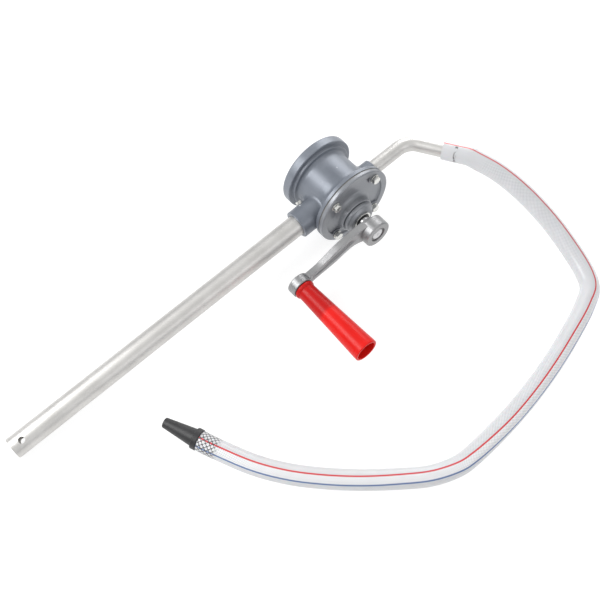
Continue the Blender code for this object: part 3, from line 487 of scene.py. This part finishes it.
def gridFaces(points, scale):
    # Quads over a grid that wraps round its columns, with UV x the share of a turn and UV y the
    # length down the rows in metres.
    rows, cols = points.shape[:2]
    a, b = (part.ravel() for part in np.meshgrid(np.arange(rows - 1), np.arange(cols), indexing="ij"))
    b2 = (b + 1) % cols
    quads = np.stack([a * cols + b, a * cols + b2, (a + 1) * cols + b2, (a + 1) * cols + b], 1)
    steps = np.linalg.norm(np.diff(points[:, 0], axis=0), axis=1)
    runs = np.concatenate([[0], np.cumsum(steps)]) * scale
    u0, u1, v0, v1 = b / cols, (b + 1) / cols, runs[a], runs[a + 1]
    uv = np.stack([u0, v0, u1, v0, u1, v1, u0, v1], 1).reshape(-1, 2)
    return quads, uv


def piece(name, grids, material, body, nodes=(), inRow=False, sharp=38):
    # One object from several grids of points, in pump millimetres or row metres.
    points, quads, uvs, base = [], [], [], 0
    for grid in grids:
        faces, uv = gridFaces(grid, 1.0 if inRow else mm)
        points.append(grid.reshape(-1, 3))
        quads.append(faces + base)
        uvs.append(uv)
        base += grid.shape[0] * grid.shape[1]
    points = np.concatenate(points)
    if not inRow:
        points = placed(points)
    quads = np.concatenate(quads)
    mesh = bpy.data.meshes.new(name)
    mesh.vertices.add(len(points))
    mesh.vertices.foreach_set("co", points.astype(np.float32).ravel())
    mesh.loops.add(quads.size)
    mesh.loops.foreach_set("vertex_index", quads.astype(np.int32).ravel())
    mesh.polygons.add(len(quads))
    mesh.polygons.foreach_set("loop_start", np.arange(0, quads.size, 4, dtype=np.int32))
    mesh.uv_layers.new(name="UVMap").data.foreach_set("uv", np.concatenate(uvs).astype(np.float32).ravel())
    mesh.update(calc_edges=True)
    mesh.validate()
    tidyMesh(mesh, sharp)
    made = bpy.data.objects.new(name, mesh)
    bpy.context.scene.collection.objects.link(made)
    settle(made, material, body, nodes)
    return made


def lathed(name, corners, line, steps, material, body, stoodFor):
    # A rounded profile turned about a line, standing for one CAD node.
    return piece(name, [turned(rounded(corners), line, steps)], material, body, [stoodFor])


def tidyMesh(mesh, sharp):
    # Merges poles and seams, turns the faces outwards and marks the sharp edges.
    shell = bmesh.new()
    shell.from_mesh(mesh)
    bmesh.ops.remove_doubles(shell, verts=shell.verts, dist=2e-6)
    bmesh.ops.dissolve_degenerate(shell, edges=shell.edges, dist=1e-7)
    bmesh.ops.recalc_face_normals(shell, faces=shell.faces)
    shell.to_mesh(mesh)
    shell.free()
    mesh.shade_smooth()
    mesh.set_sharp_from_angle(angle=math.radians(sharp))


def settle(made, material, body, nodes):
    made.data.materials.clear()
    made.data.materials.append(finish[material])
    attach(made, body)
    if nodes:
        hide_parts(*nodes)


casingLine = axisLine((0, 0, 0), (0, -1, 0), (1, 0, 0))
shaftLine = axisLine((-5.0, 0, -4.5), (0, -1, 0), (1, 0, 0))
tubeLine = axisLine((0, 0, 0), (1, 0, 0), (0, 0, 1))

# Hose, from its mouth over the pipe to the nozzle

hose = {
    "radius": 12.7,
    "wall": 2.3,
    "lead": 18.0,
    "gap": 0.3,
    "overlap": 16.0,
    "pipeEndStraight": 49.0,
    "lipShare": 0.96,
    "lipRound": 0.02,
    "lipOut": 0.4,
    "mouthDepth": 12.0,
    "plugShare": 0.001,
}
layoutShift = np.array([0.18022, 0.06839, 0.0])
hoseRoute = np.array([
    (0.1626, -0.0860, 0.0705), (0.1737, -0.1132, 0.0645), (0.1826, -0.1432, 0.0545),
    (0.1889, -0.1768, 0.0415), (0.1903, -0.2151, 0.0285), (0.1845, -0.2580, 0.0185),
    (0.1765, -0.2860, 0.0143), (0.1650, -0.3035, 0.0130), (0.1450, -0.3140, 0.0130),
    (0.1175, -0.3245, 0.0130), (0.0667, -0.3396, 0.0130), (0.0175, -0.3507, 0.0130),
    (-0.0301, -0.3581, 0.0130), (-0.0737, -0.3619, 0.0130), (-0.1110, -0.3630, 0.0130),
    (-0.1340, -0.3605, 0.0130), (-0.1646, -0.3482, 0.0130), (-0.1965, -0.3255, 0.0130),
    (-0.2293, -0.2988, 0.0130), (-0.2601, -0.2698, 0.0130), (-0.2886, -0.2380, 0.0130),
    (-0.3133, -0.2013, 0.0130),
]) + layoutShift
nozzleCollar = np.array([-0.3425, -0.1375, 0.0138]) + layoutShift
nozzleHeading = math.radians(111.5)
nozzleWay = np.array([math.cos(nozzleHeading), math.sin(nozzleHeading), 0.0])

pipe = {
    "radius": 10.0,
    "wall": 1.5,
    "seat": 44.0,
    "bendStart": 100.2,
    "bendRadius": 30.0,
    "bend": math.radians(60),
    "shift": -4.0,
    # In the bend the tube draws in by this much, round this row of its path and over this many.
    "drawnIn": (0.25, 50.0, 14.0),
}
turn = np.linspace(0, pipe["bend"], 40)
bendPath = np.stack([
    pipe["bendStart"] + pipe["bendRadius"] * np.sin(turn),
    pipe["shift"] - pipe["bendRadius"] * (1 - np.cos(turn)),
    np.zeros_like(turn),
], 1)
pipeHeading = np.array([math.cos(pipe["bend"]), -math.sin(pipe["bend"]), 0.0])
straightEnd = bendPath[-1] + pipeHeading * hose["pipeEndStraight"]


def smoothThrough(knots, count):
    # Cubic pieces whose slope at each knot is the mean of its neighbours'.
    knots = np.asarray(knots, float)
    slopes = np.gradient(knots, axis=0)
    at = np.linspace(0, len(knots) - 1, count)
    k = np.minimum(at.astype(int), len(knots) - 2)
    f = (at - k)[:, None]
    return (knots[k] * (2 * f**3 - 3 * f**2 + 1) + slopes[k] * (f**3 - 2 * f**2 + f)
            + knots[k + 1] * (3 * f**2 - 2 * f**3) + slopes[k + 1] * (f**3 - f**2))


def evenly(path, spacing):
    # The same path with points at equal distances.
    travelled = np.concatenate([[0], np.cumsum(np.linalg.norm(np.diff(path, axis=0), axis=1))])
    at = np.linspace(0, travelled[-1], int(travelled[-1] / spacing) + 1)
    return np.stack([np.interp(at, travelled, path[:, k]) for k in range(3)], 1), float(travelled[-1])


pipeMouth = placed(straightEnd[None])[0]
pipeWay = pumpAxes @ pipeHeading
hoseStart = pipeMouth + pipeWay * hose["gap"] * mm
hoseEnd = nozzleCollar - nozzleWay * hose["gap"] * mm
knots = np.concatenate([
    [hoseStart, hoseStart + pipeWay * hose["lead"] * mm],
    hoseRoute,
    [hoseEnd - nozzleWay * hose["lead"] * mm, hoseEnd],
])
freePath, hoseLength = evenly(smoothThrough(knots, 60 * (len(knots) - 1) + 1), 0.0025)
mouth = hoseStart - pipeWay * (hose["overlap"] + hose["gap"]) * mm
leadIn = mouth + np.linspace(0, 1, 8, endpoint=False)[:, None] * (hoseStart - mouth)
hosePath = np.concatenate([leadIn, freePath])
finish["hoseWeave"] = makeHoseWeave()


def hoseMouth(centre, rim, inward):
    # Rows of one end: round the lip, along the inside and over the plug that closes it.
    inner = 1 - hose["wall"] / hose["radius"]
    out, deep = inward * hose["lipOut"] * mm, inward * hose["mouthDepth"] * mm
    return np.array([
        centre + rim * hose["lipShare"] - out,
        centre + rim * (inner + hose["lipRound"]) - out,
        centre + rim * inner,
        centre + rim * inner + deep,
        centre + rim * hose["plugShare"] + deep,
    ])


def buildHose():
    # The outside along the path, turned slowly by the twist, with a lip and an inside at each end.
    travelled = np.concatenate([[0], np.cumsum(np.linalg.norm(np.diff(hosePath, axis=0), axis=1))])
    knotRun, knotTurn = np.array(hoseLook["twist"]).T
    twist = (np.interp(travelled, knotRun, knotTurn) - hoseLook["redAt"]) * tau
    rows = hoseLook["twistSoft"]
    soft = np.exp(-np.linspace(-2, 2, 2 * rows + 1) ** 2)
    twist = np.convolve(np.pad(twist, rows, mode="edge"), soft / soft.sum(), mode="valid")
    grid = swept(hosePath, hose["radius"] * mm, (0, 0, 1), 72, twist)
    start = hoseMouth(hosePath[0], grid[0] - hosePath[0], unit(hosePath[1] - hosePath[0]))
    end = hoseMouth(hosePath[-1], grid[-1] - hosePath[-1], unit(hosePath[-2] - hosePath[-1]))
    full = np.concatenate([start[::-1], grid, end])
    piece(
        "dischargeHose", [full], "hoseWeave", "casing", ["discharge_hose"], inRow=True, sharp=50
    )


# Radius, distance from the collar's face and fillet of each corner
nozzleShape = (
    (3.6, 30, 0), (4.2, 0.4, 0.3), (12.7, 0.0, 0.8), (13.5, 1.0, 0.6), (13.5, 7.4, 0.8), (12.4, 8.0, 0.4),
    (11.2, 8.0, 0.8), (10.9, 10.5, 1.0), (6.7, 48.6, 1.2), (6.3, 50.0, 0.7), (4.3, 50.0, 0.4),
    (4.0, 46.0, 0.5), (3.6, 30, 0),
)


def buildNozzle():
    # Turned nozzle: flat collar, cone to the tip, and an open bore.
    grid = turned(rounded(nozzleShape) * mm, axisLine(nozzleCollar, nozzleWay, (0, 0, 1)), 96)
    return piece("hoseNozzle", [grid], "blackRubber", "casing", ["hose_nozzle"], inRow=True)


print("camera, light and materials ready")


# Casing

casing = {
    "barrel": 40.0,
    "rearFace": -50.8,
    "rearFlange": (53.3, 12.8),
    "step": (46.5, 3.5),
    "rim": 56.5,
    "joint": 24.5,
    "flange": 5.5,
    "inlet": (19.2, -73.0, 14.3, -46.0),
    "outlet": (13.8, 55.5, 10.3, 44.0),
    "fillet": 7.0,
    "outletFillet": 4.9,
}

gasketShape = ((40, 24.6, 0), (56.0, 24.6, 0.2), (56.0, 25.8, 0.2), (40, 25.8, 0), (40, 24.6, 0))


def socketGrid(radius, end, bore, seat, shift, fillet, steps=128):
    # A round socket square to the barrel. A ball of the fillet's radius rolls in the corner:
    # its centre is where the two grown cylinders meet, and it touches each of them.
    big, small = casing["barrel"] + fillet, radius + fillet
    a = np.arange(steps) * tau / steps
    side, up = np.cos(a), np.sin(a)
    sign = np.sign(end)
    y0, z0 = small * side + shift, small * up
    centre = np.stack([sign * np.sqrt(big**2 - z0**2), y0, z0], 1)
    onSocket = np.stack([centre[:, 0], radius * side + shift, radius * up], 1)
    onBarrel = np.stack([centre[:, 0] * casing["barrel"] / big, y0, z0 * casing["barrel"] / big], 1)
    t = np.linspace(0, 1, 14)[:, None, None]
    arms = (1 - t) * (onSocket - centre)[None] + t * (onBarrel - centre)[None]
    arc = centre[None] + fillet * arms / np.linalg.norm(arms, axis=2, keepdims=True)
    sunk = onBarrel * [0.97, 1, 0.97]
    profile = rounded([
        (0, seat, 0), (bore, seat, 0), (bore, end, 0.4), (radius, end, 1.3), (radius, end - sign * 4, 0),
    ])
    line = (np.array([0, shift, 0.0]), np.array([0, 1.0, 0]), np.array([0, 0, 1.0]), np.array([1.0, 0, 0]))
    closed = np.broadcast_to(sunk.mean(axis=0), sunk.shape)
    return np.concatenate([turned(profile, line, steps), arc, sunk[None], closed[None]])


def buildCasing():
    c = casing
    rear = c["rearFace"] + c["rearFlange"][1]
    step = rear + c["step"][1]
    back = c["joint"] - c["flange"]
    profile = rounded([
        (0, c["rearFace"], 0), (c["rearFlange"][0], c["rearFace"], 2.2), (c["rearFlange"][0], rear, 1.8),
        (c["step"][0] + 0.6, rear, 0.7), (c["step"][0], step, 1.2), (c["barrel"] + 1.8, step + 0.6, 1.5),
        (c["barrel"], step + 4.5, 4.0), (c["barrel"], back - 7.5, 6.0), (c["barrel"] + 8.0, back, 4.0),
        (c["rim"], back, 1.3), (c["rim"], c["joint"], 0.35), (0, c["joint"], 0),
    ])
    grids = [
        turned(profile, casingLine, 240),
        socketGrid(*c["inlet"], 0.0, c["fillet"]),
        socketGrid(*c["outlet"], pipe["shift"], c["outletFillet"]),
    ]
    piece("pumpCasing", grids, "casingPaint", "casing", ["pump_body"])
    lathed(
        "coverGasket", gasketShape, casingLine, 200, "gasketFibre", "casing", "cover_gasket"
    )


# Cover with its neck, bolts and gland

cover = {
    "rim": 56.5,
    "back": 25.9,
    "face": 31.4,
    "recess": 46.5,
    "floor": 28.9,
    "neckTop": 41.4,
    "neck": 25.0,
    "flare": 6.6,
    "boltCircle": 45.5,
    "boltAngles": (40.0, 132.0, 222.0, 312.0),
    "boss": 8.5,
    "bore": (15.6, 15.3, 38.0),
}


def boltLines():
    circle = cover["boltCircle"]
    turns = np.radians(cover["boltAngles"])
    return [axisLine((circle * math.cos(a), 0, circle * math.sin(a)), (0, -1, 0), (1, 0, 0)) for a in turns]


def buildCover():
    c = cover
    disc = rounded([
        (0, c["back"], 0), (c["rim"], c["back"], 0.35), (c["rim"], c["face"], 1.9),
        (c["recess"] + 0.4, c["face"], 0.9), (c["recess"] - 0.6, c["floor"], 1.2), (0, c["floor"], 0),
    ])
    t = np.linspace(0, math.pi / 2, 16)
    foot = c["neck"] + 0.6 + c["flare"]
    flare = np.stack([foot - c["flare"] * np.sin(t), c["floor"] + c["flare"] * (1 - np.cos(t))], 1)
    mouth, bore, depth = c["bore"]
    top = rounded([
        (*flare[-1], 0), (c["neck"], c["neckTop"], 1.1), (mouth, c["neckTop"], 0.5),
        (bore, depth, 0), (0, depth, 0),
    ])
    sunk = c["floor"] - 1.5
    neck = np.concatenate([[(0, sunk), (foot, sunk), (foot + 0.05, c["floor"] - 0.05)], flare, top[1:]])
    lug = rounded([
        (0, c["back"] + 1, 0), (c["boss"], c["back"] + 1, 0),
        (c["boss"], c["face"] - 0.1, 0.9), (0, c["face"] - 0.1, 0),
    ])
    grids = [turned(disc, casingLine, 240), turned(neck, shaftLine, 200)]
    grids += [turned(lug, line, 72) for line in boltLines()]
    piece("frontCover", grids, "coverPaint", "casing", ["front_cover"])


bolt = {
    "flats": 10.0,
    "head": 4.5,
    "seat": 33.2,
    "chamfer": 4.75,
    "dish": (3.4, 3.0, 0.3),
    "turn": 15.0,
    "washer": (6.2, 3.3, 31.7, 1.2),
    "shank": ((0, 19.5), (2.6, 19.5), (3.0, 20.0), (3.0, 33.4), (0, 33.4)),
}


def hexHead(line):
    # Rows of a hexagon's outline, whose radius is half the flats over the cosine from the
    # nearest flat, with the top corners cut by a 30 degree cone and a shallow dish on top.
    steps = 96
    a = np.arange(steps) * tau / steps
    toFlat = (a - math.radians(bolt["turn"])) % (tau / 6) - tau / 12
    outline = bolt["flats"] / 2 / np.cos(toFlat)
    low, high = bolt["seat"], bolt["seat"] + bolt["head"]
    shoulder = high - np.maximum(outline - bolt["chamfer"], 0) * math.tan(math.radians(30))
    rim, floor, deep = bolt["dish"]
    rows = [
        (0 * a, low), (outline * 0.97, low), (outline, low + 0.15), (outline, low + 2),
        (outline, shoulder - 0.1), (outline * 0.997, shoulder), (0 * a + bolt["chamfer"] * 0.99, high),
        (0 * a + rim, high), (0 * a + floor, high - deep + 0.05), (0 * a, high - deep),
    ]
    origin, x, y, z = line
    circle = np.cos(a)[:, None] * x + np.sin(a)[:, None] * y
    return np.array([
        origin + np.broadcast_to(height, a.shape)[:, None] * z + radius[:, None] * circle
        for radius, height in rows
    ])


def buildBolts():
    radius, hole, low, thick = bolt["washer"]
    top = low + thick
    ring = [
        (hole, low, 0.2), (radius, low, 0.25), (radius, top, 0.35), (hole + 1.4, top, 0.1),
        (hole, top, 0.2), (hole, low, 0),
    ]
    for number, line in enumerate(boltLines(), 1):
        washer, screw = f"bolt_washer_{number}", f"cover_bolt_{number}"
        lathed(f"boltWasher{number}", ring, line, 72, "zincPlate", "casing", washer)
        grids = [hexHead(line), turned(np.array(bolt["shank"]), line, 36)]
        piece(f"coverBolt{number}", grids, "zincPlate", "casing", [screw], sharp=25)


# Radius, height and fillet of each corner
gland = {
    "nut": (
        (8.7, 38.5, 0), (15.0, 38.5, 0.3), (15.0, 41.9, 0.2), (22.2, 41.9, 0.5), (22.9, 42.6, 0.5),
        (22.9, 45.6, 1.2), (21.4, 47.2, 0.5), (20.6, 47.3, 0.4), (18.0, 50.4, 0.7), (16.9, 51.2, 0.5),
        (8.7, 51.2, 0.3), (8.7, 38.5, 0),
    ),
    "ring": (
        (10.6, 51.3, 0), (13.0, 51.3, 0.2), (13.0, 52.5, 0.4), (11.2, 52.5, 0.3), (10.6, 52.2, 0.1),
        (10.6, 51.3, 0),
    ),
    "lip": (
        (8.3, 51.4, 0), (10.2, 51.4, 0.1), (10.2, 52.4, 0.4), (9.0, 53.5, 0.3), (8.3, 53.6, 0.2),
        (8.3, 51.4, 0),
    ),
    "shaft": (
        (0, -42.0, 0), (7.4, -42.0, 0.2), (8.0, -41.4, 0.2), (8.0, 80.1, 0), (7.2, 80.7, 0.2),
        (2.2, 80.7, 0.2), (0.2, 78.8, 0), (0, 78.8, 0),
    ),
}


def buildGland():
    g = gland
    lathed("glandNut", g["nut"], shaftLine, 200, "coverPaint", "gland", "gland_nut")
    lathed("glandRing", g["ring"], shaftLine, 144, "zincPlate", "gland", "gland_ring")
    lathed("shaftSeal", g["lip"], shaftLine, 120, "blackRubber", "gland", "shaft_seal")
    lathed("driveShaft", g["shaft"], shaftLine, 96, "turnedSteel", "crank", "shaft")


# Crank and grip

crank = {
    "radius": 118.5,
    "drop": math.radians(3.4),
    "hub": 19.2,
    "hubBack": 64.0,
    "hubFace": 81.7,
    "hubRecess": (10.8, 3.0),
    "rib": 3.0,
    "pocket": 2.4,
    "fall": 1.0,
    "corners": (1.5, 2.6, 1.0),
    "bore": 8.3,
    "boss": 15.2,
    "bossBack": 58.1,
    "bossFace": 70.6,
    "pinHole": (5.6, 5.3, 62.0),
    # Share of the radius, then top, bottom, back, front and the lower side of the sunk web.
    "stations": (
        (-0.04, 18.6, -18.0, 62.4, 74.4, 4.0),
        (0.04, 18.2, -17.2, 61.2, 73.0, 4.0),
        (0.10, 17.3, -14.8, 60.0, 70.9, 4.0),
        (0.17, 16.2, -12.4, 59.1, 69.2, 3.6),
        (0.25, 15.4, -10.2, 58.7, 68.4, 2.2),
        (0.34, 15.0, -10.2, 58.6, 68.1, -0.8),
        (0.44, 13.9, -10.9, 58.6, 68.3, -1.8),
        (0.53, 11.6, -11.8, 58.6, 68.5, -2.2),
        (0.62, 8.9, -12.2, 58.6, 68.3, -2.6),
        (0.72, 6.4, -12.2, 58.6, 68.1, -3.4),
        (0.84, 6.0, -11.8, 58.6, 68.1, -3.2),
        (1.04, 7.0, -10.0, 58.6, 68.1, -2.0),
    ),
}
crankWay = np.array([-math.cos(crank["drop"]), 0.0, -math.sin(crank["drop"])])
crankLine = axisLine((-5.0, 0, -4.5), (0, -1, 0), crankWay)
bossLine = axisLine(np.array([-5.0, 0, -4.5]) + crankWay * crank["radius"], (0, -1, 0), crankWay)


def smoothStep(x):
    x = np.clip(x, 0, 1)
    return x * x * (3 - 2 * x)


def armGrid():
    # A section carried along the arm. Its back is flat. Its front keeps a rib along the top, sinks by
    # the pocket's depth to the web, climbs again at the web's lower side, and from there falls to the
    # bottom edge by the square of the way gone. The depth fades out at both ends.
    c = crank
    rows = smoothThrough([(row[0] * c["radius"], *row[1:]) for row in c["stations"]], 190)
    u, top, bottom, back, front, web = rows.T[:, :, None]
    share = u / c["radius"]
    depth = c["pocket"] * smoothStep((share - 0.20) / 0.10) * smoothStep((0.87 - share) / 0.10)
    fall = c["fall"] * smoothStep((share - 0.05) / 0.25) * (0.35 + 0.65 * smoothStep((0.95 - share) / 0.2))
    upper, lower, rear = c["corners"]
    q = np.linspace(0, math.pi / 2, 8)
    spread = np.linspace(0, 1, 92)[None]
    face = (top - upper) + (bottom + lower - top + upper) * spread
    sunk = depth * smoothStep((top - c["rib"] - face) / 1.6) * smoothStep((face - web) / 1.3)
    lean = np.clip((web - face) / (web - bottom - lower), 0, 1)
    tall = front - sunk - fall * lean**2
    edge = front - fall
    bend = (1 - np.sin(q))[None] * np.ones_like(u)
    away = (1 - np.cos(q))[None] * np.ones_like(u)
    across = np.concatenate([
        top - rear * bend, top - upper * away, face[:, 1:-1], bottom + lower * bend, bottom + rear * away,
    ], 1)
    height = np.concatenate([
        back + rear * away, front - upper * bend, tall[:, 1:-1], edge - lower * away, back + rear * bend,
    ], 1)
    origin, x, y, z = crankLine
    points = origin + u[..., None] * x - across[..., None] * y + height[..., None] * z
    caps = points.mean(axis=1, keepdims=True)
    return np.concatenate([caps[:1] + 0 * points[:1], points, caps[-1:] + 0 * points[:1]])


def buildCrank():
    c = crank
    recess, depth = c["hubRecess"]
    floor = c["hubFace"] - depth
    hub = rounded([
        (c["bore"], c["hubBack"], 0.3), (c["hub"], c["hubBack"], 1.4), (c["hub"], c["hubFace"], 2.2),
        (recess + 0.3, c["hubFace"], 0.7), (recess - 0.2, floor, 0.6), (c["bore"], floor, 0.3),
        (c["bore"], c["hubBack"], 0),
    ])
    mouth, hole, holeEnd = c["pinHole"]
    boss = rounded([
        (0, c["bossBack"], 0), (c["boss"], c["bossBack"], 1.2), (c["boss"], c["bossFace"], 1.2),
        (mouth, c["bossFace"], 0.3), (hole, holeEnd, 0), (0, holeEnd, 0),
    ])
    grids = [armGrid(), turned(hub, crankLine, 160), turned(boss, bossLine, 144)]
    piece("crankArm", grids, "castAluminium", "crank", ["crank_arm"], sharp=50)


grip = {
    "back": 70.9,
    "length": 118.0,
    "bead": (14.0, 5.0),
    "thin": 12.2,
    "thick": 16.4,
    "wall": 3.0,
    "hollow": 24.0,
    "hole": (5.3, 5.4),
    "pin": (5.0, 60.5),
    "pinHead": (9.0, 2.6, 4.0),
}


def buildGrip():
    g = grip
    low, high = g["back"], g["back"] + g["length"]
    bead, beadLong = g["bead"]
    t = np.linspace(0, 1, 40)
    swell = np.stack([
        g["thin"] + (g["thick"] - g["thin"]) * (0.25 * t + 0.75 * t**1.1),
        low + beadLong + 4 + (g["length"] - beadLong - 8.5) * t,
    ], 1)
    hole, holeEnd = g["hole"]
    start = rounded([
        (hole, low, 0), (bead - 0.8, low, 1.2), (bead, low + beadLong / 2, 2.2),
        (bead - 0.8, low + beadLong, 1.4), (g["thin"] + 0.1, low + beadLong + 0.8, 1.2), (*swell[0], 0),
    ])
    inside = g["thick"] - g["wall"]
    bottom = high - g["hollow"]
    end = rounded([
        (*swell[-1], 0), (g["thick"], high, 1.7), (inside, high, 1.0), (inside - 0.5, high - 8, 0.6),
        (inside - 1.2, bottom, 0.8), (holeEnd, bottom, 0), (hole, low, 0),
    ])
    profile = np.concatenate([start[:-1], swell, end[1:]])
    grid = turned(profile, bossLine, 144)
    piece("crankGrip", [grid], "gripPlastic", "grip_sleeve", ["grip"])
    pin, pinFoot = g["pin"]
    head, edge, tall = g["pinHead"]
    floor = bottom + 0.3
    spindle = [
        (0, pinFoot, 0), (pin, pinFoot, 0.3), (pin, floor, 0.1), (head, floor, 0.3),
        (head, floor + edge, 1.2), (5.5, floor + tall, 1.0), (1.2, floor + tall, 0.3),
        (0, floor + tall - 0.4, 0),
    ]
    lathed("gripSpindle", spindle, bossLine, 96, "turnedSteel", "crank", "grip_spindle")


# Tubes

tube = {
    "radius": 14.0,
    "wall": 2.0,
    "foot": -519.6,
    "seat": -46.0,
    "hole": (4.2, 15.0, math.radians(20)),
}


def buildTube():
    # Plain tube with soft rims; a round cutter then opens the cross hole near the foot.
    outer, inner, foot = tube["radius"], tube["radius"] - tube["wall"], tube["foot"]
    profile = [
        (inner, tube["seat"], 0), (inner, foot, 0.5), (outer, foot, 0.5), (outer, foot + 40, 0),
        (outer, tube["seat"], 0.4), (inner, tube["seat"], 0),
    ]
    made = lathed(
        "suctionTube", profile, tubeLine, 128, "drawnAluminium", "casing", "suction_tube"
    )
    radius, away, lean = tube["hole"]
    cutLine = axisLine((foot + away, 0, 0), (0, -math.sin(lean), math.cos(lean)), (1, 0, 0))
    bit = turned(np.array([(0, -20.0), (radius, -20.0), (radius, 20.0), (0, 20.0)]), cutLine, 48)
    cutter = piece("holeCutter", [bit], "drawnAluminium", "casing")
    cut = made.modifiers.new("crossHole", "BOOLEAN")
    cut.operation, cut.solver, cut.object = "DIFFERENCE", "EXACT", cutter
    bpy.context.view_layer.update()
    opened = bpy.data.meshes.new_from_object(made.evaluated_get(bpy.context.evaluated_depsgraph_get()))
    made.modifiers.clear()
    made.data = opened
    bpy.data.objects.remove(cutter)
    opened.shade_smooth()
    opened.set_sharp_from_angle(angle=math.radians(30))


def buildPipe():
    # Bent tube: outside along the path, round end, and back along the inside.
    first = np.linspace(pipe["seat"], pipe["bendStart"] - 0.5, 30)
    path = np.concatenate([
        np.stack([first, np.full(30, pipe["shift"]), np.zeros(30)], 1),
        bendPath,
        bendPath[-1] + pipeHeading * np.linspace(0.8, hose["pipeEndStraight"], 24)[:, None],
    ])
    outer, inner = pipe["radius"], pipe["radius"] - pipe["wall"]
    by, row, over = pipe["drawnIn"]
    skin = swept(path, outer - by * np.exp(-((np.arange(len(path)) - row) / over) ** 2), (0, 0, 1), 96)
    core = swept(path, inner, (0, 0, 1), 96)[::-1]
    lip = swept(path, outer - 0.5, (0, 0, 1), 96)
    skin[-1] = (skin[-1] + skin[-2]) / 2
    grid = np.concatenate([skin, lip[-1:], core, skin[:1]])
    piece("outletPipe", [grid], "drawnAluminium", "casing", ["outlet_pipe"], sharp=45)


buildHose()
nozzle = buildNozzle()
buildCasing()
buildCover()
buildBolts()
buildGland()
buildCrank()
buildGrip()
buildTube()
buildPipe()
print("pieces made")

# CAD nodes that stay as they are take the finish of their slot
slotFinish = {
    "body_paint": "casingPaint",
    "cover_paint": "coverPaint",
    "gasket_fibre": "gasketFibre",
    "zinc_plate": "zincPlate",
    "turned_steel": "turnedSteel",
    "bronze": "bushBronze",
    "cast_aluminium": "castAluminium",
    "vane_fibre": "gasketFibre",
    "black_rubber": "blackRubber",
    "red_plastic": "gripPlastic",
    "tube_aluminium": "drawnAluminium",
    "clear_hose": "hoseWeave",
}
slotOf = {part["node"]: part["material_slot"] for part in frame["record"]["subparts"]}
for name, kept in frame["nodes"].items():
    kept.data.materials.clear()
    kept.data.materials.append(finish[slotFinish[slotOf[name]]])

# Table

table = {"colour": (0.30, 0.30, 0.30, 1), "glow": 0.80, "half": 8, "drop": 0.0004}
signs = ((-1, -1), (1, -1), (1, 1), (-1, 1))
corners = [(x * table["half"], y * table["half"], -table["drop"]) for x, y in signs]
mesh = bpy.data.meshes.new("table")
mesh.from_pydata(corners, [], [(0, 1, 2, 3)])
tableTop = bpy.data.objects.new("table", mesh)
bpy.context.scene.collection.objects.link(tableTop)
paper, _, paperShader = newSurface("palePaper", Roughness=0.9)
paperShader.inputs["Base Color"].default_value = table["colour"]
paperShader.inputs["Emission Color"].default_value = (1, 1, 1, 1)
paperShader.inputs["Emission Strength"].default_value = table["glow"]
mesh.materials.append(paper)
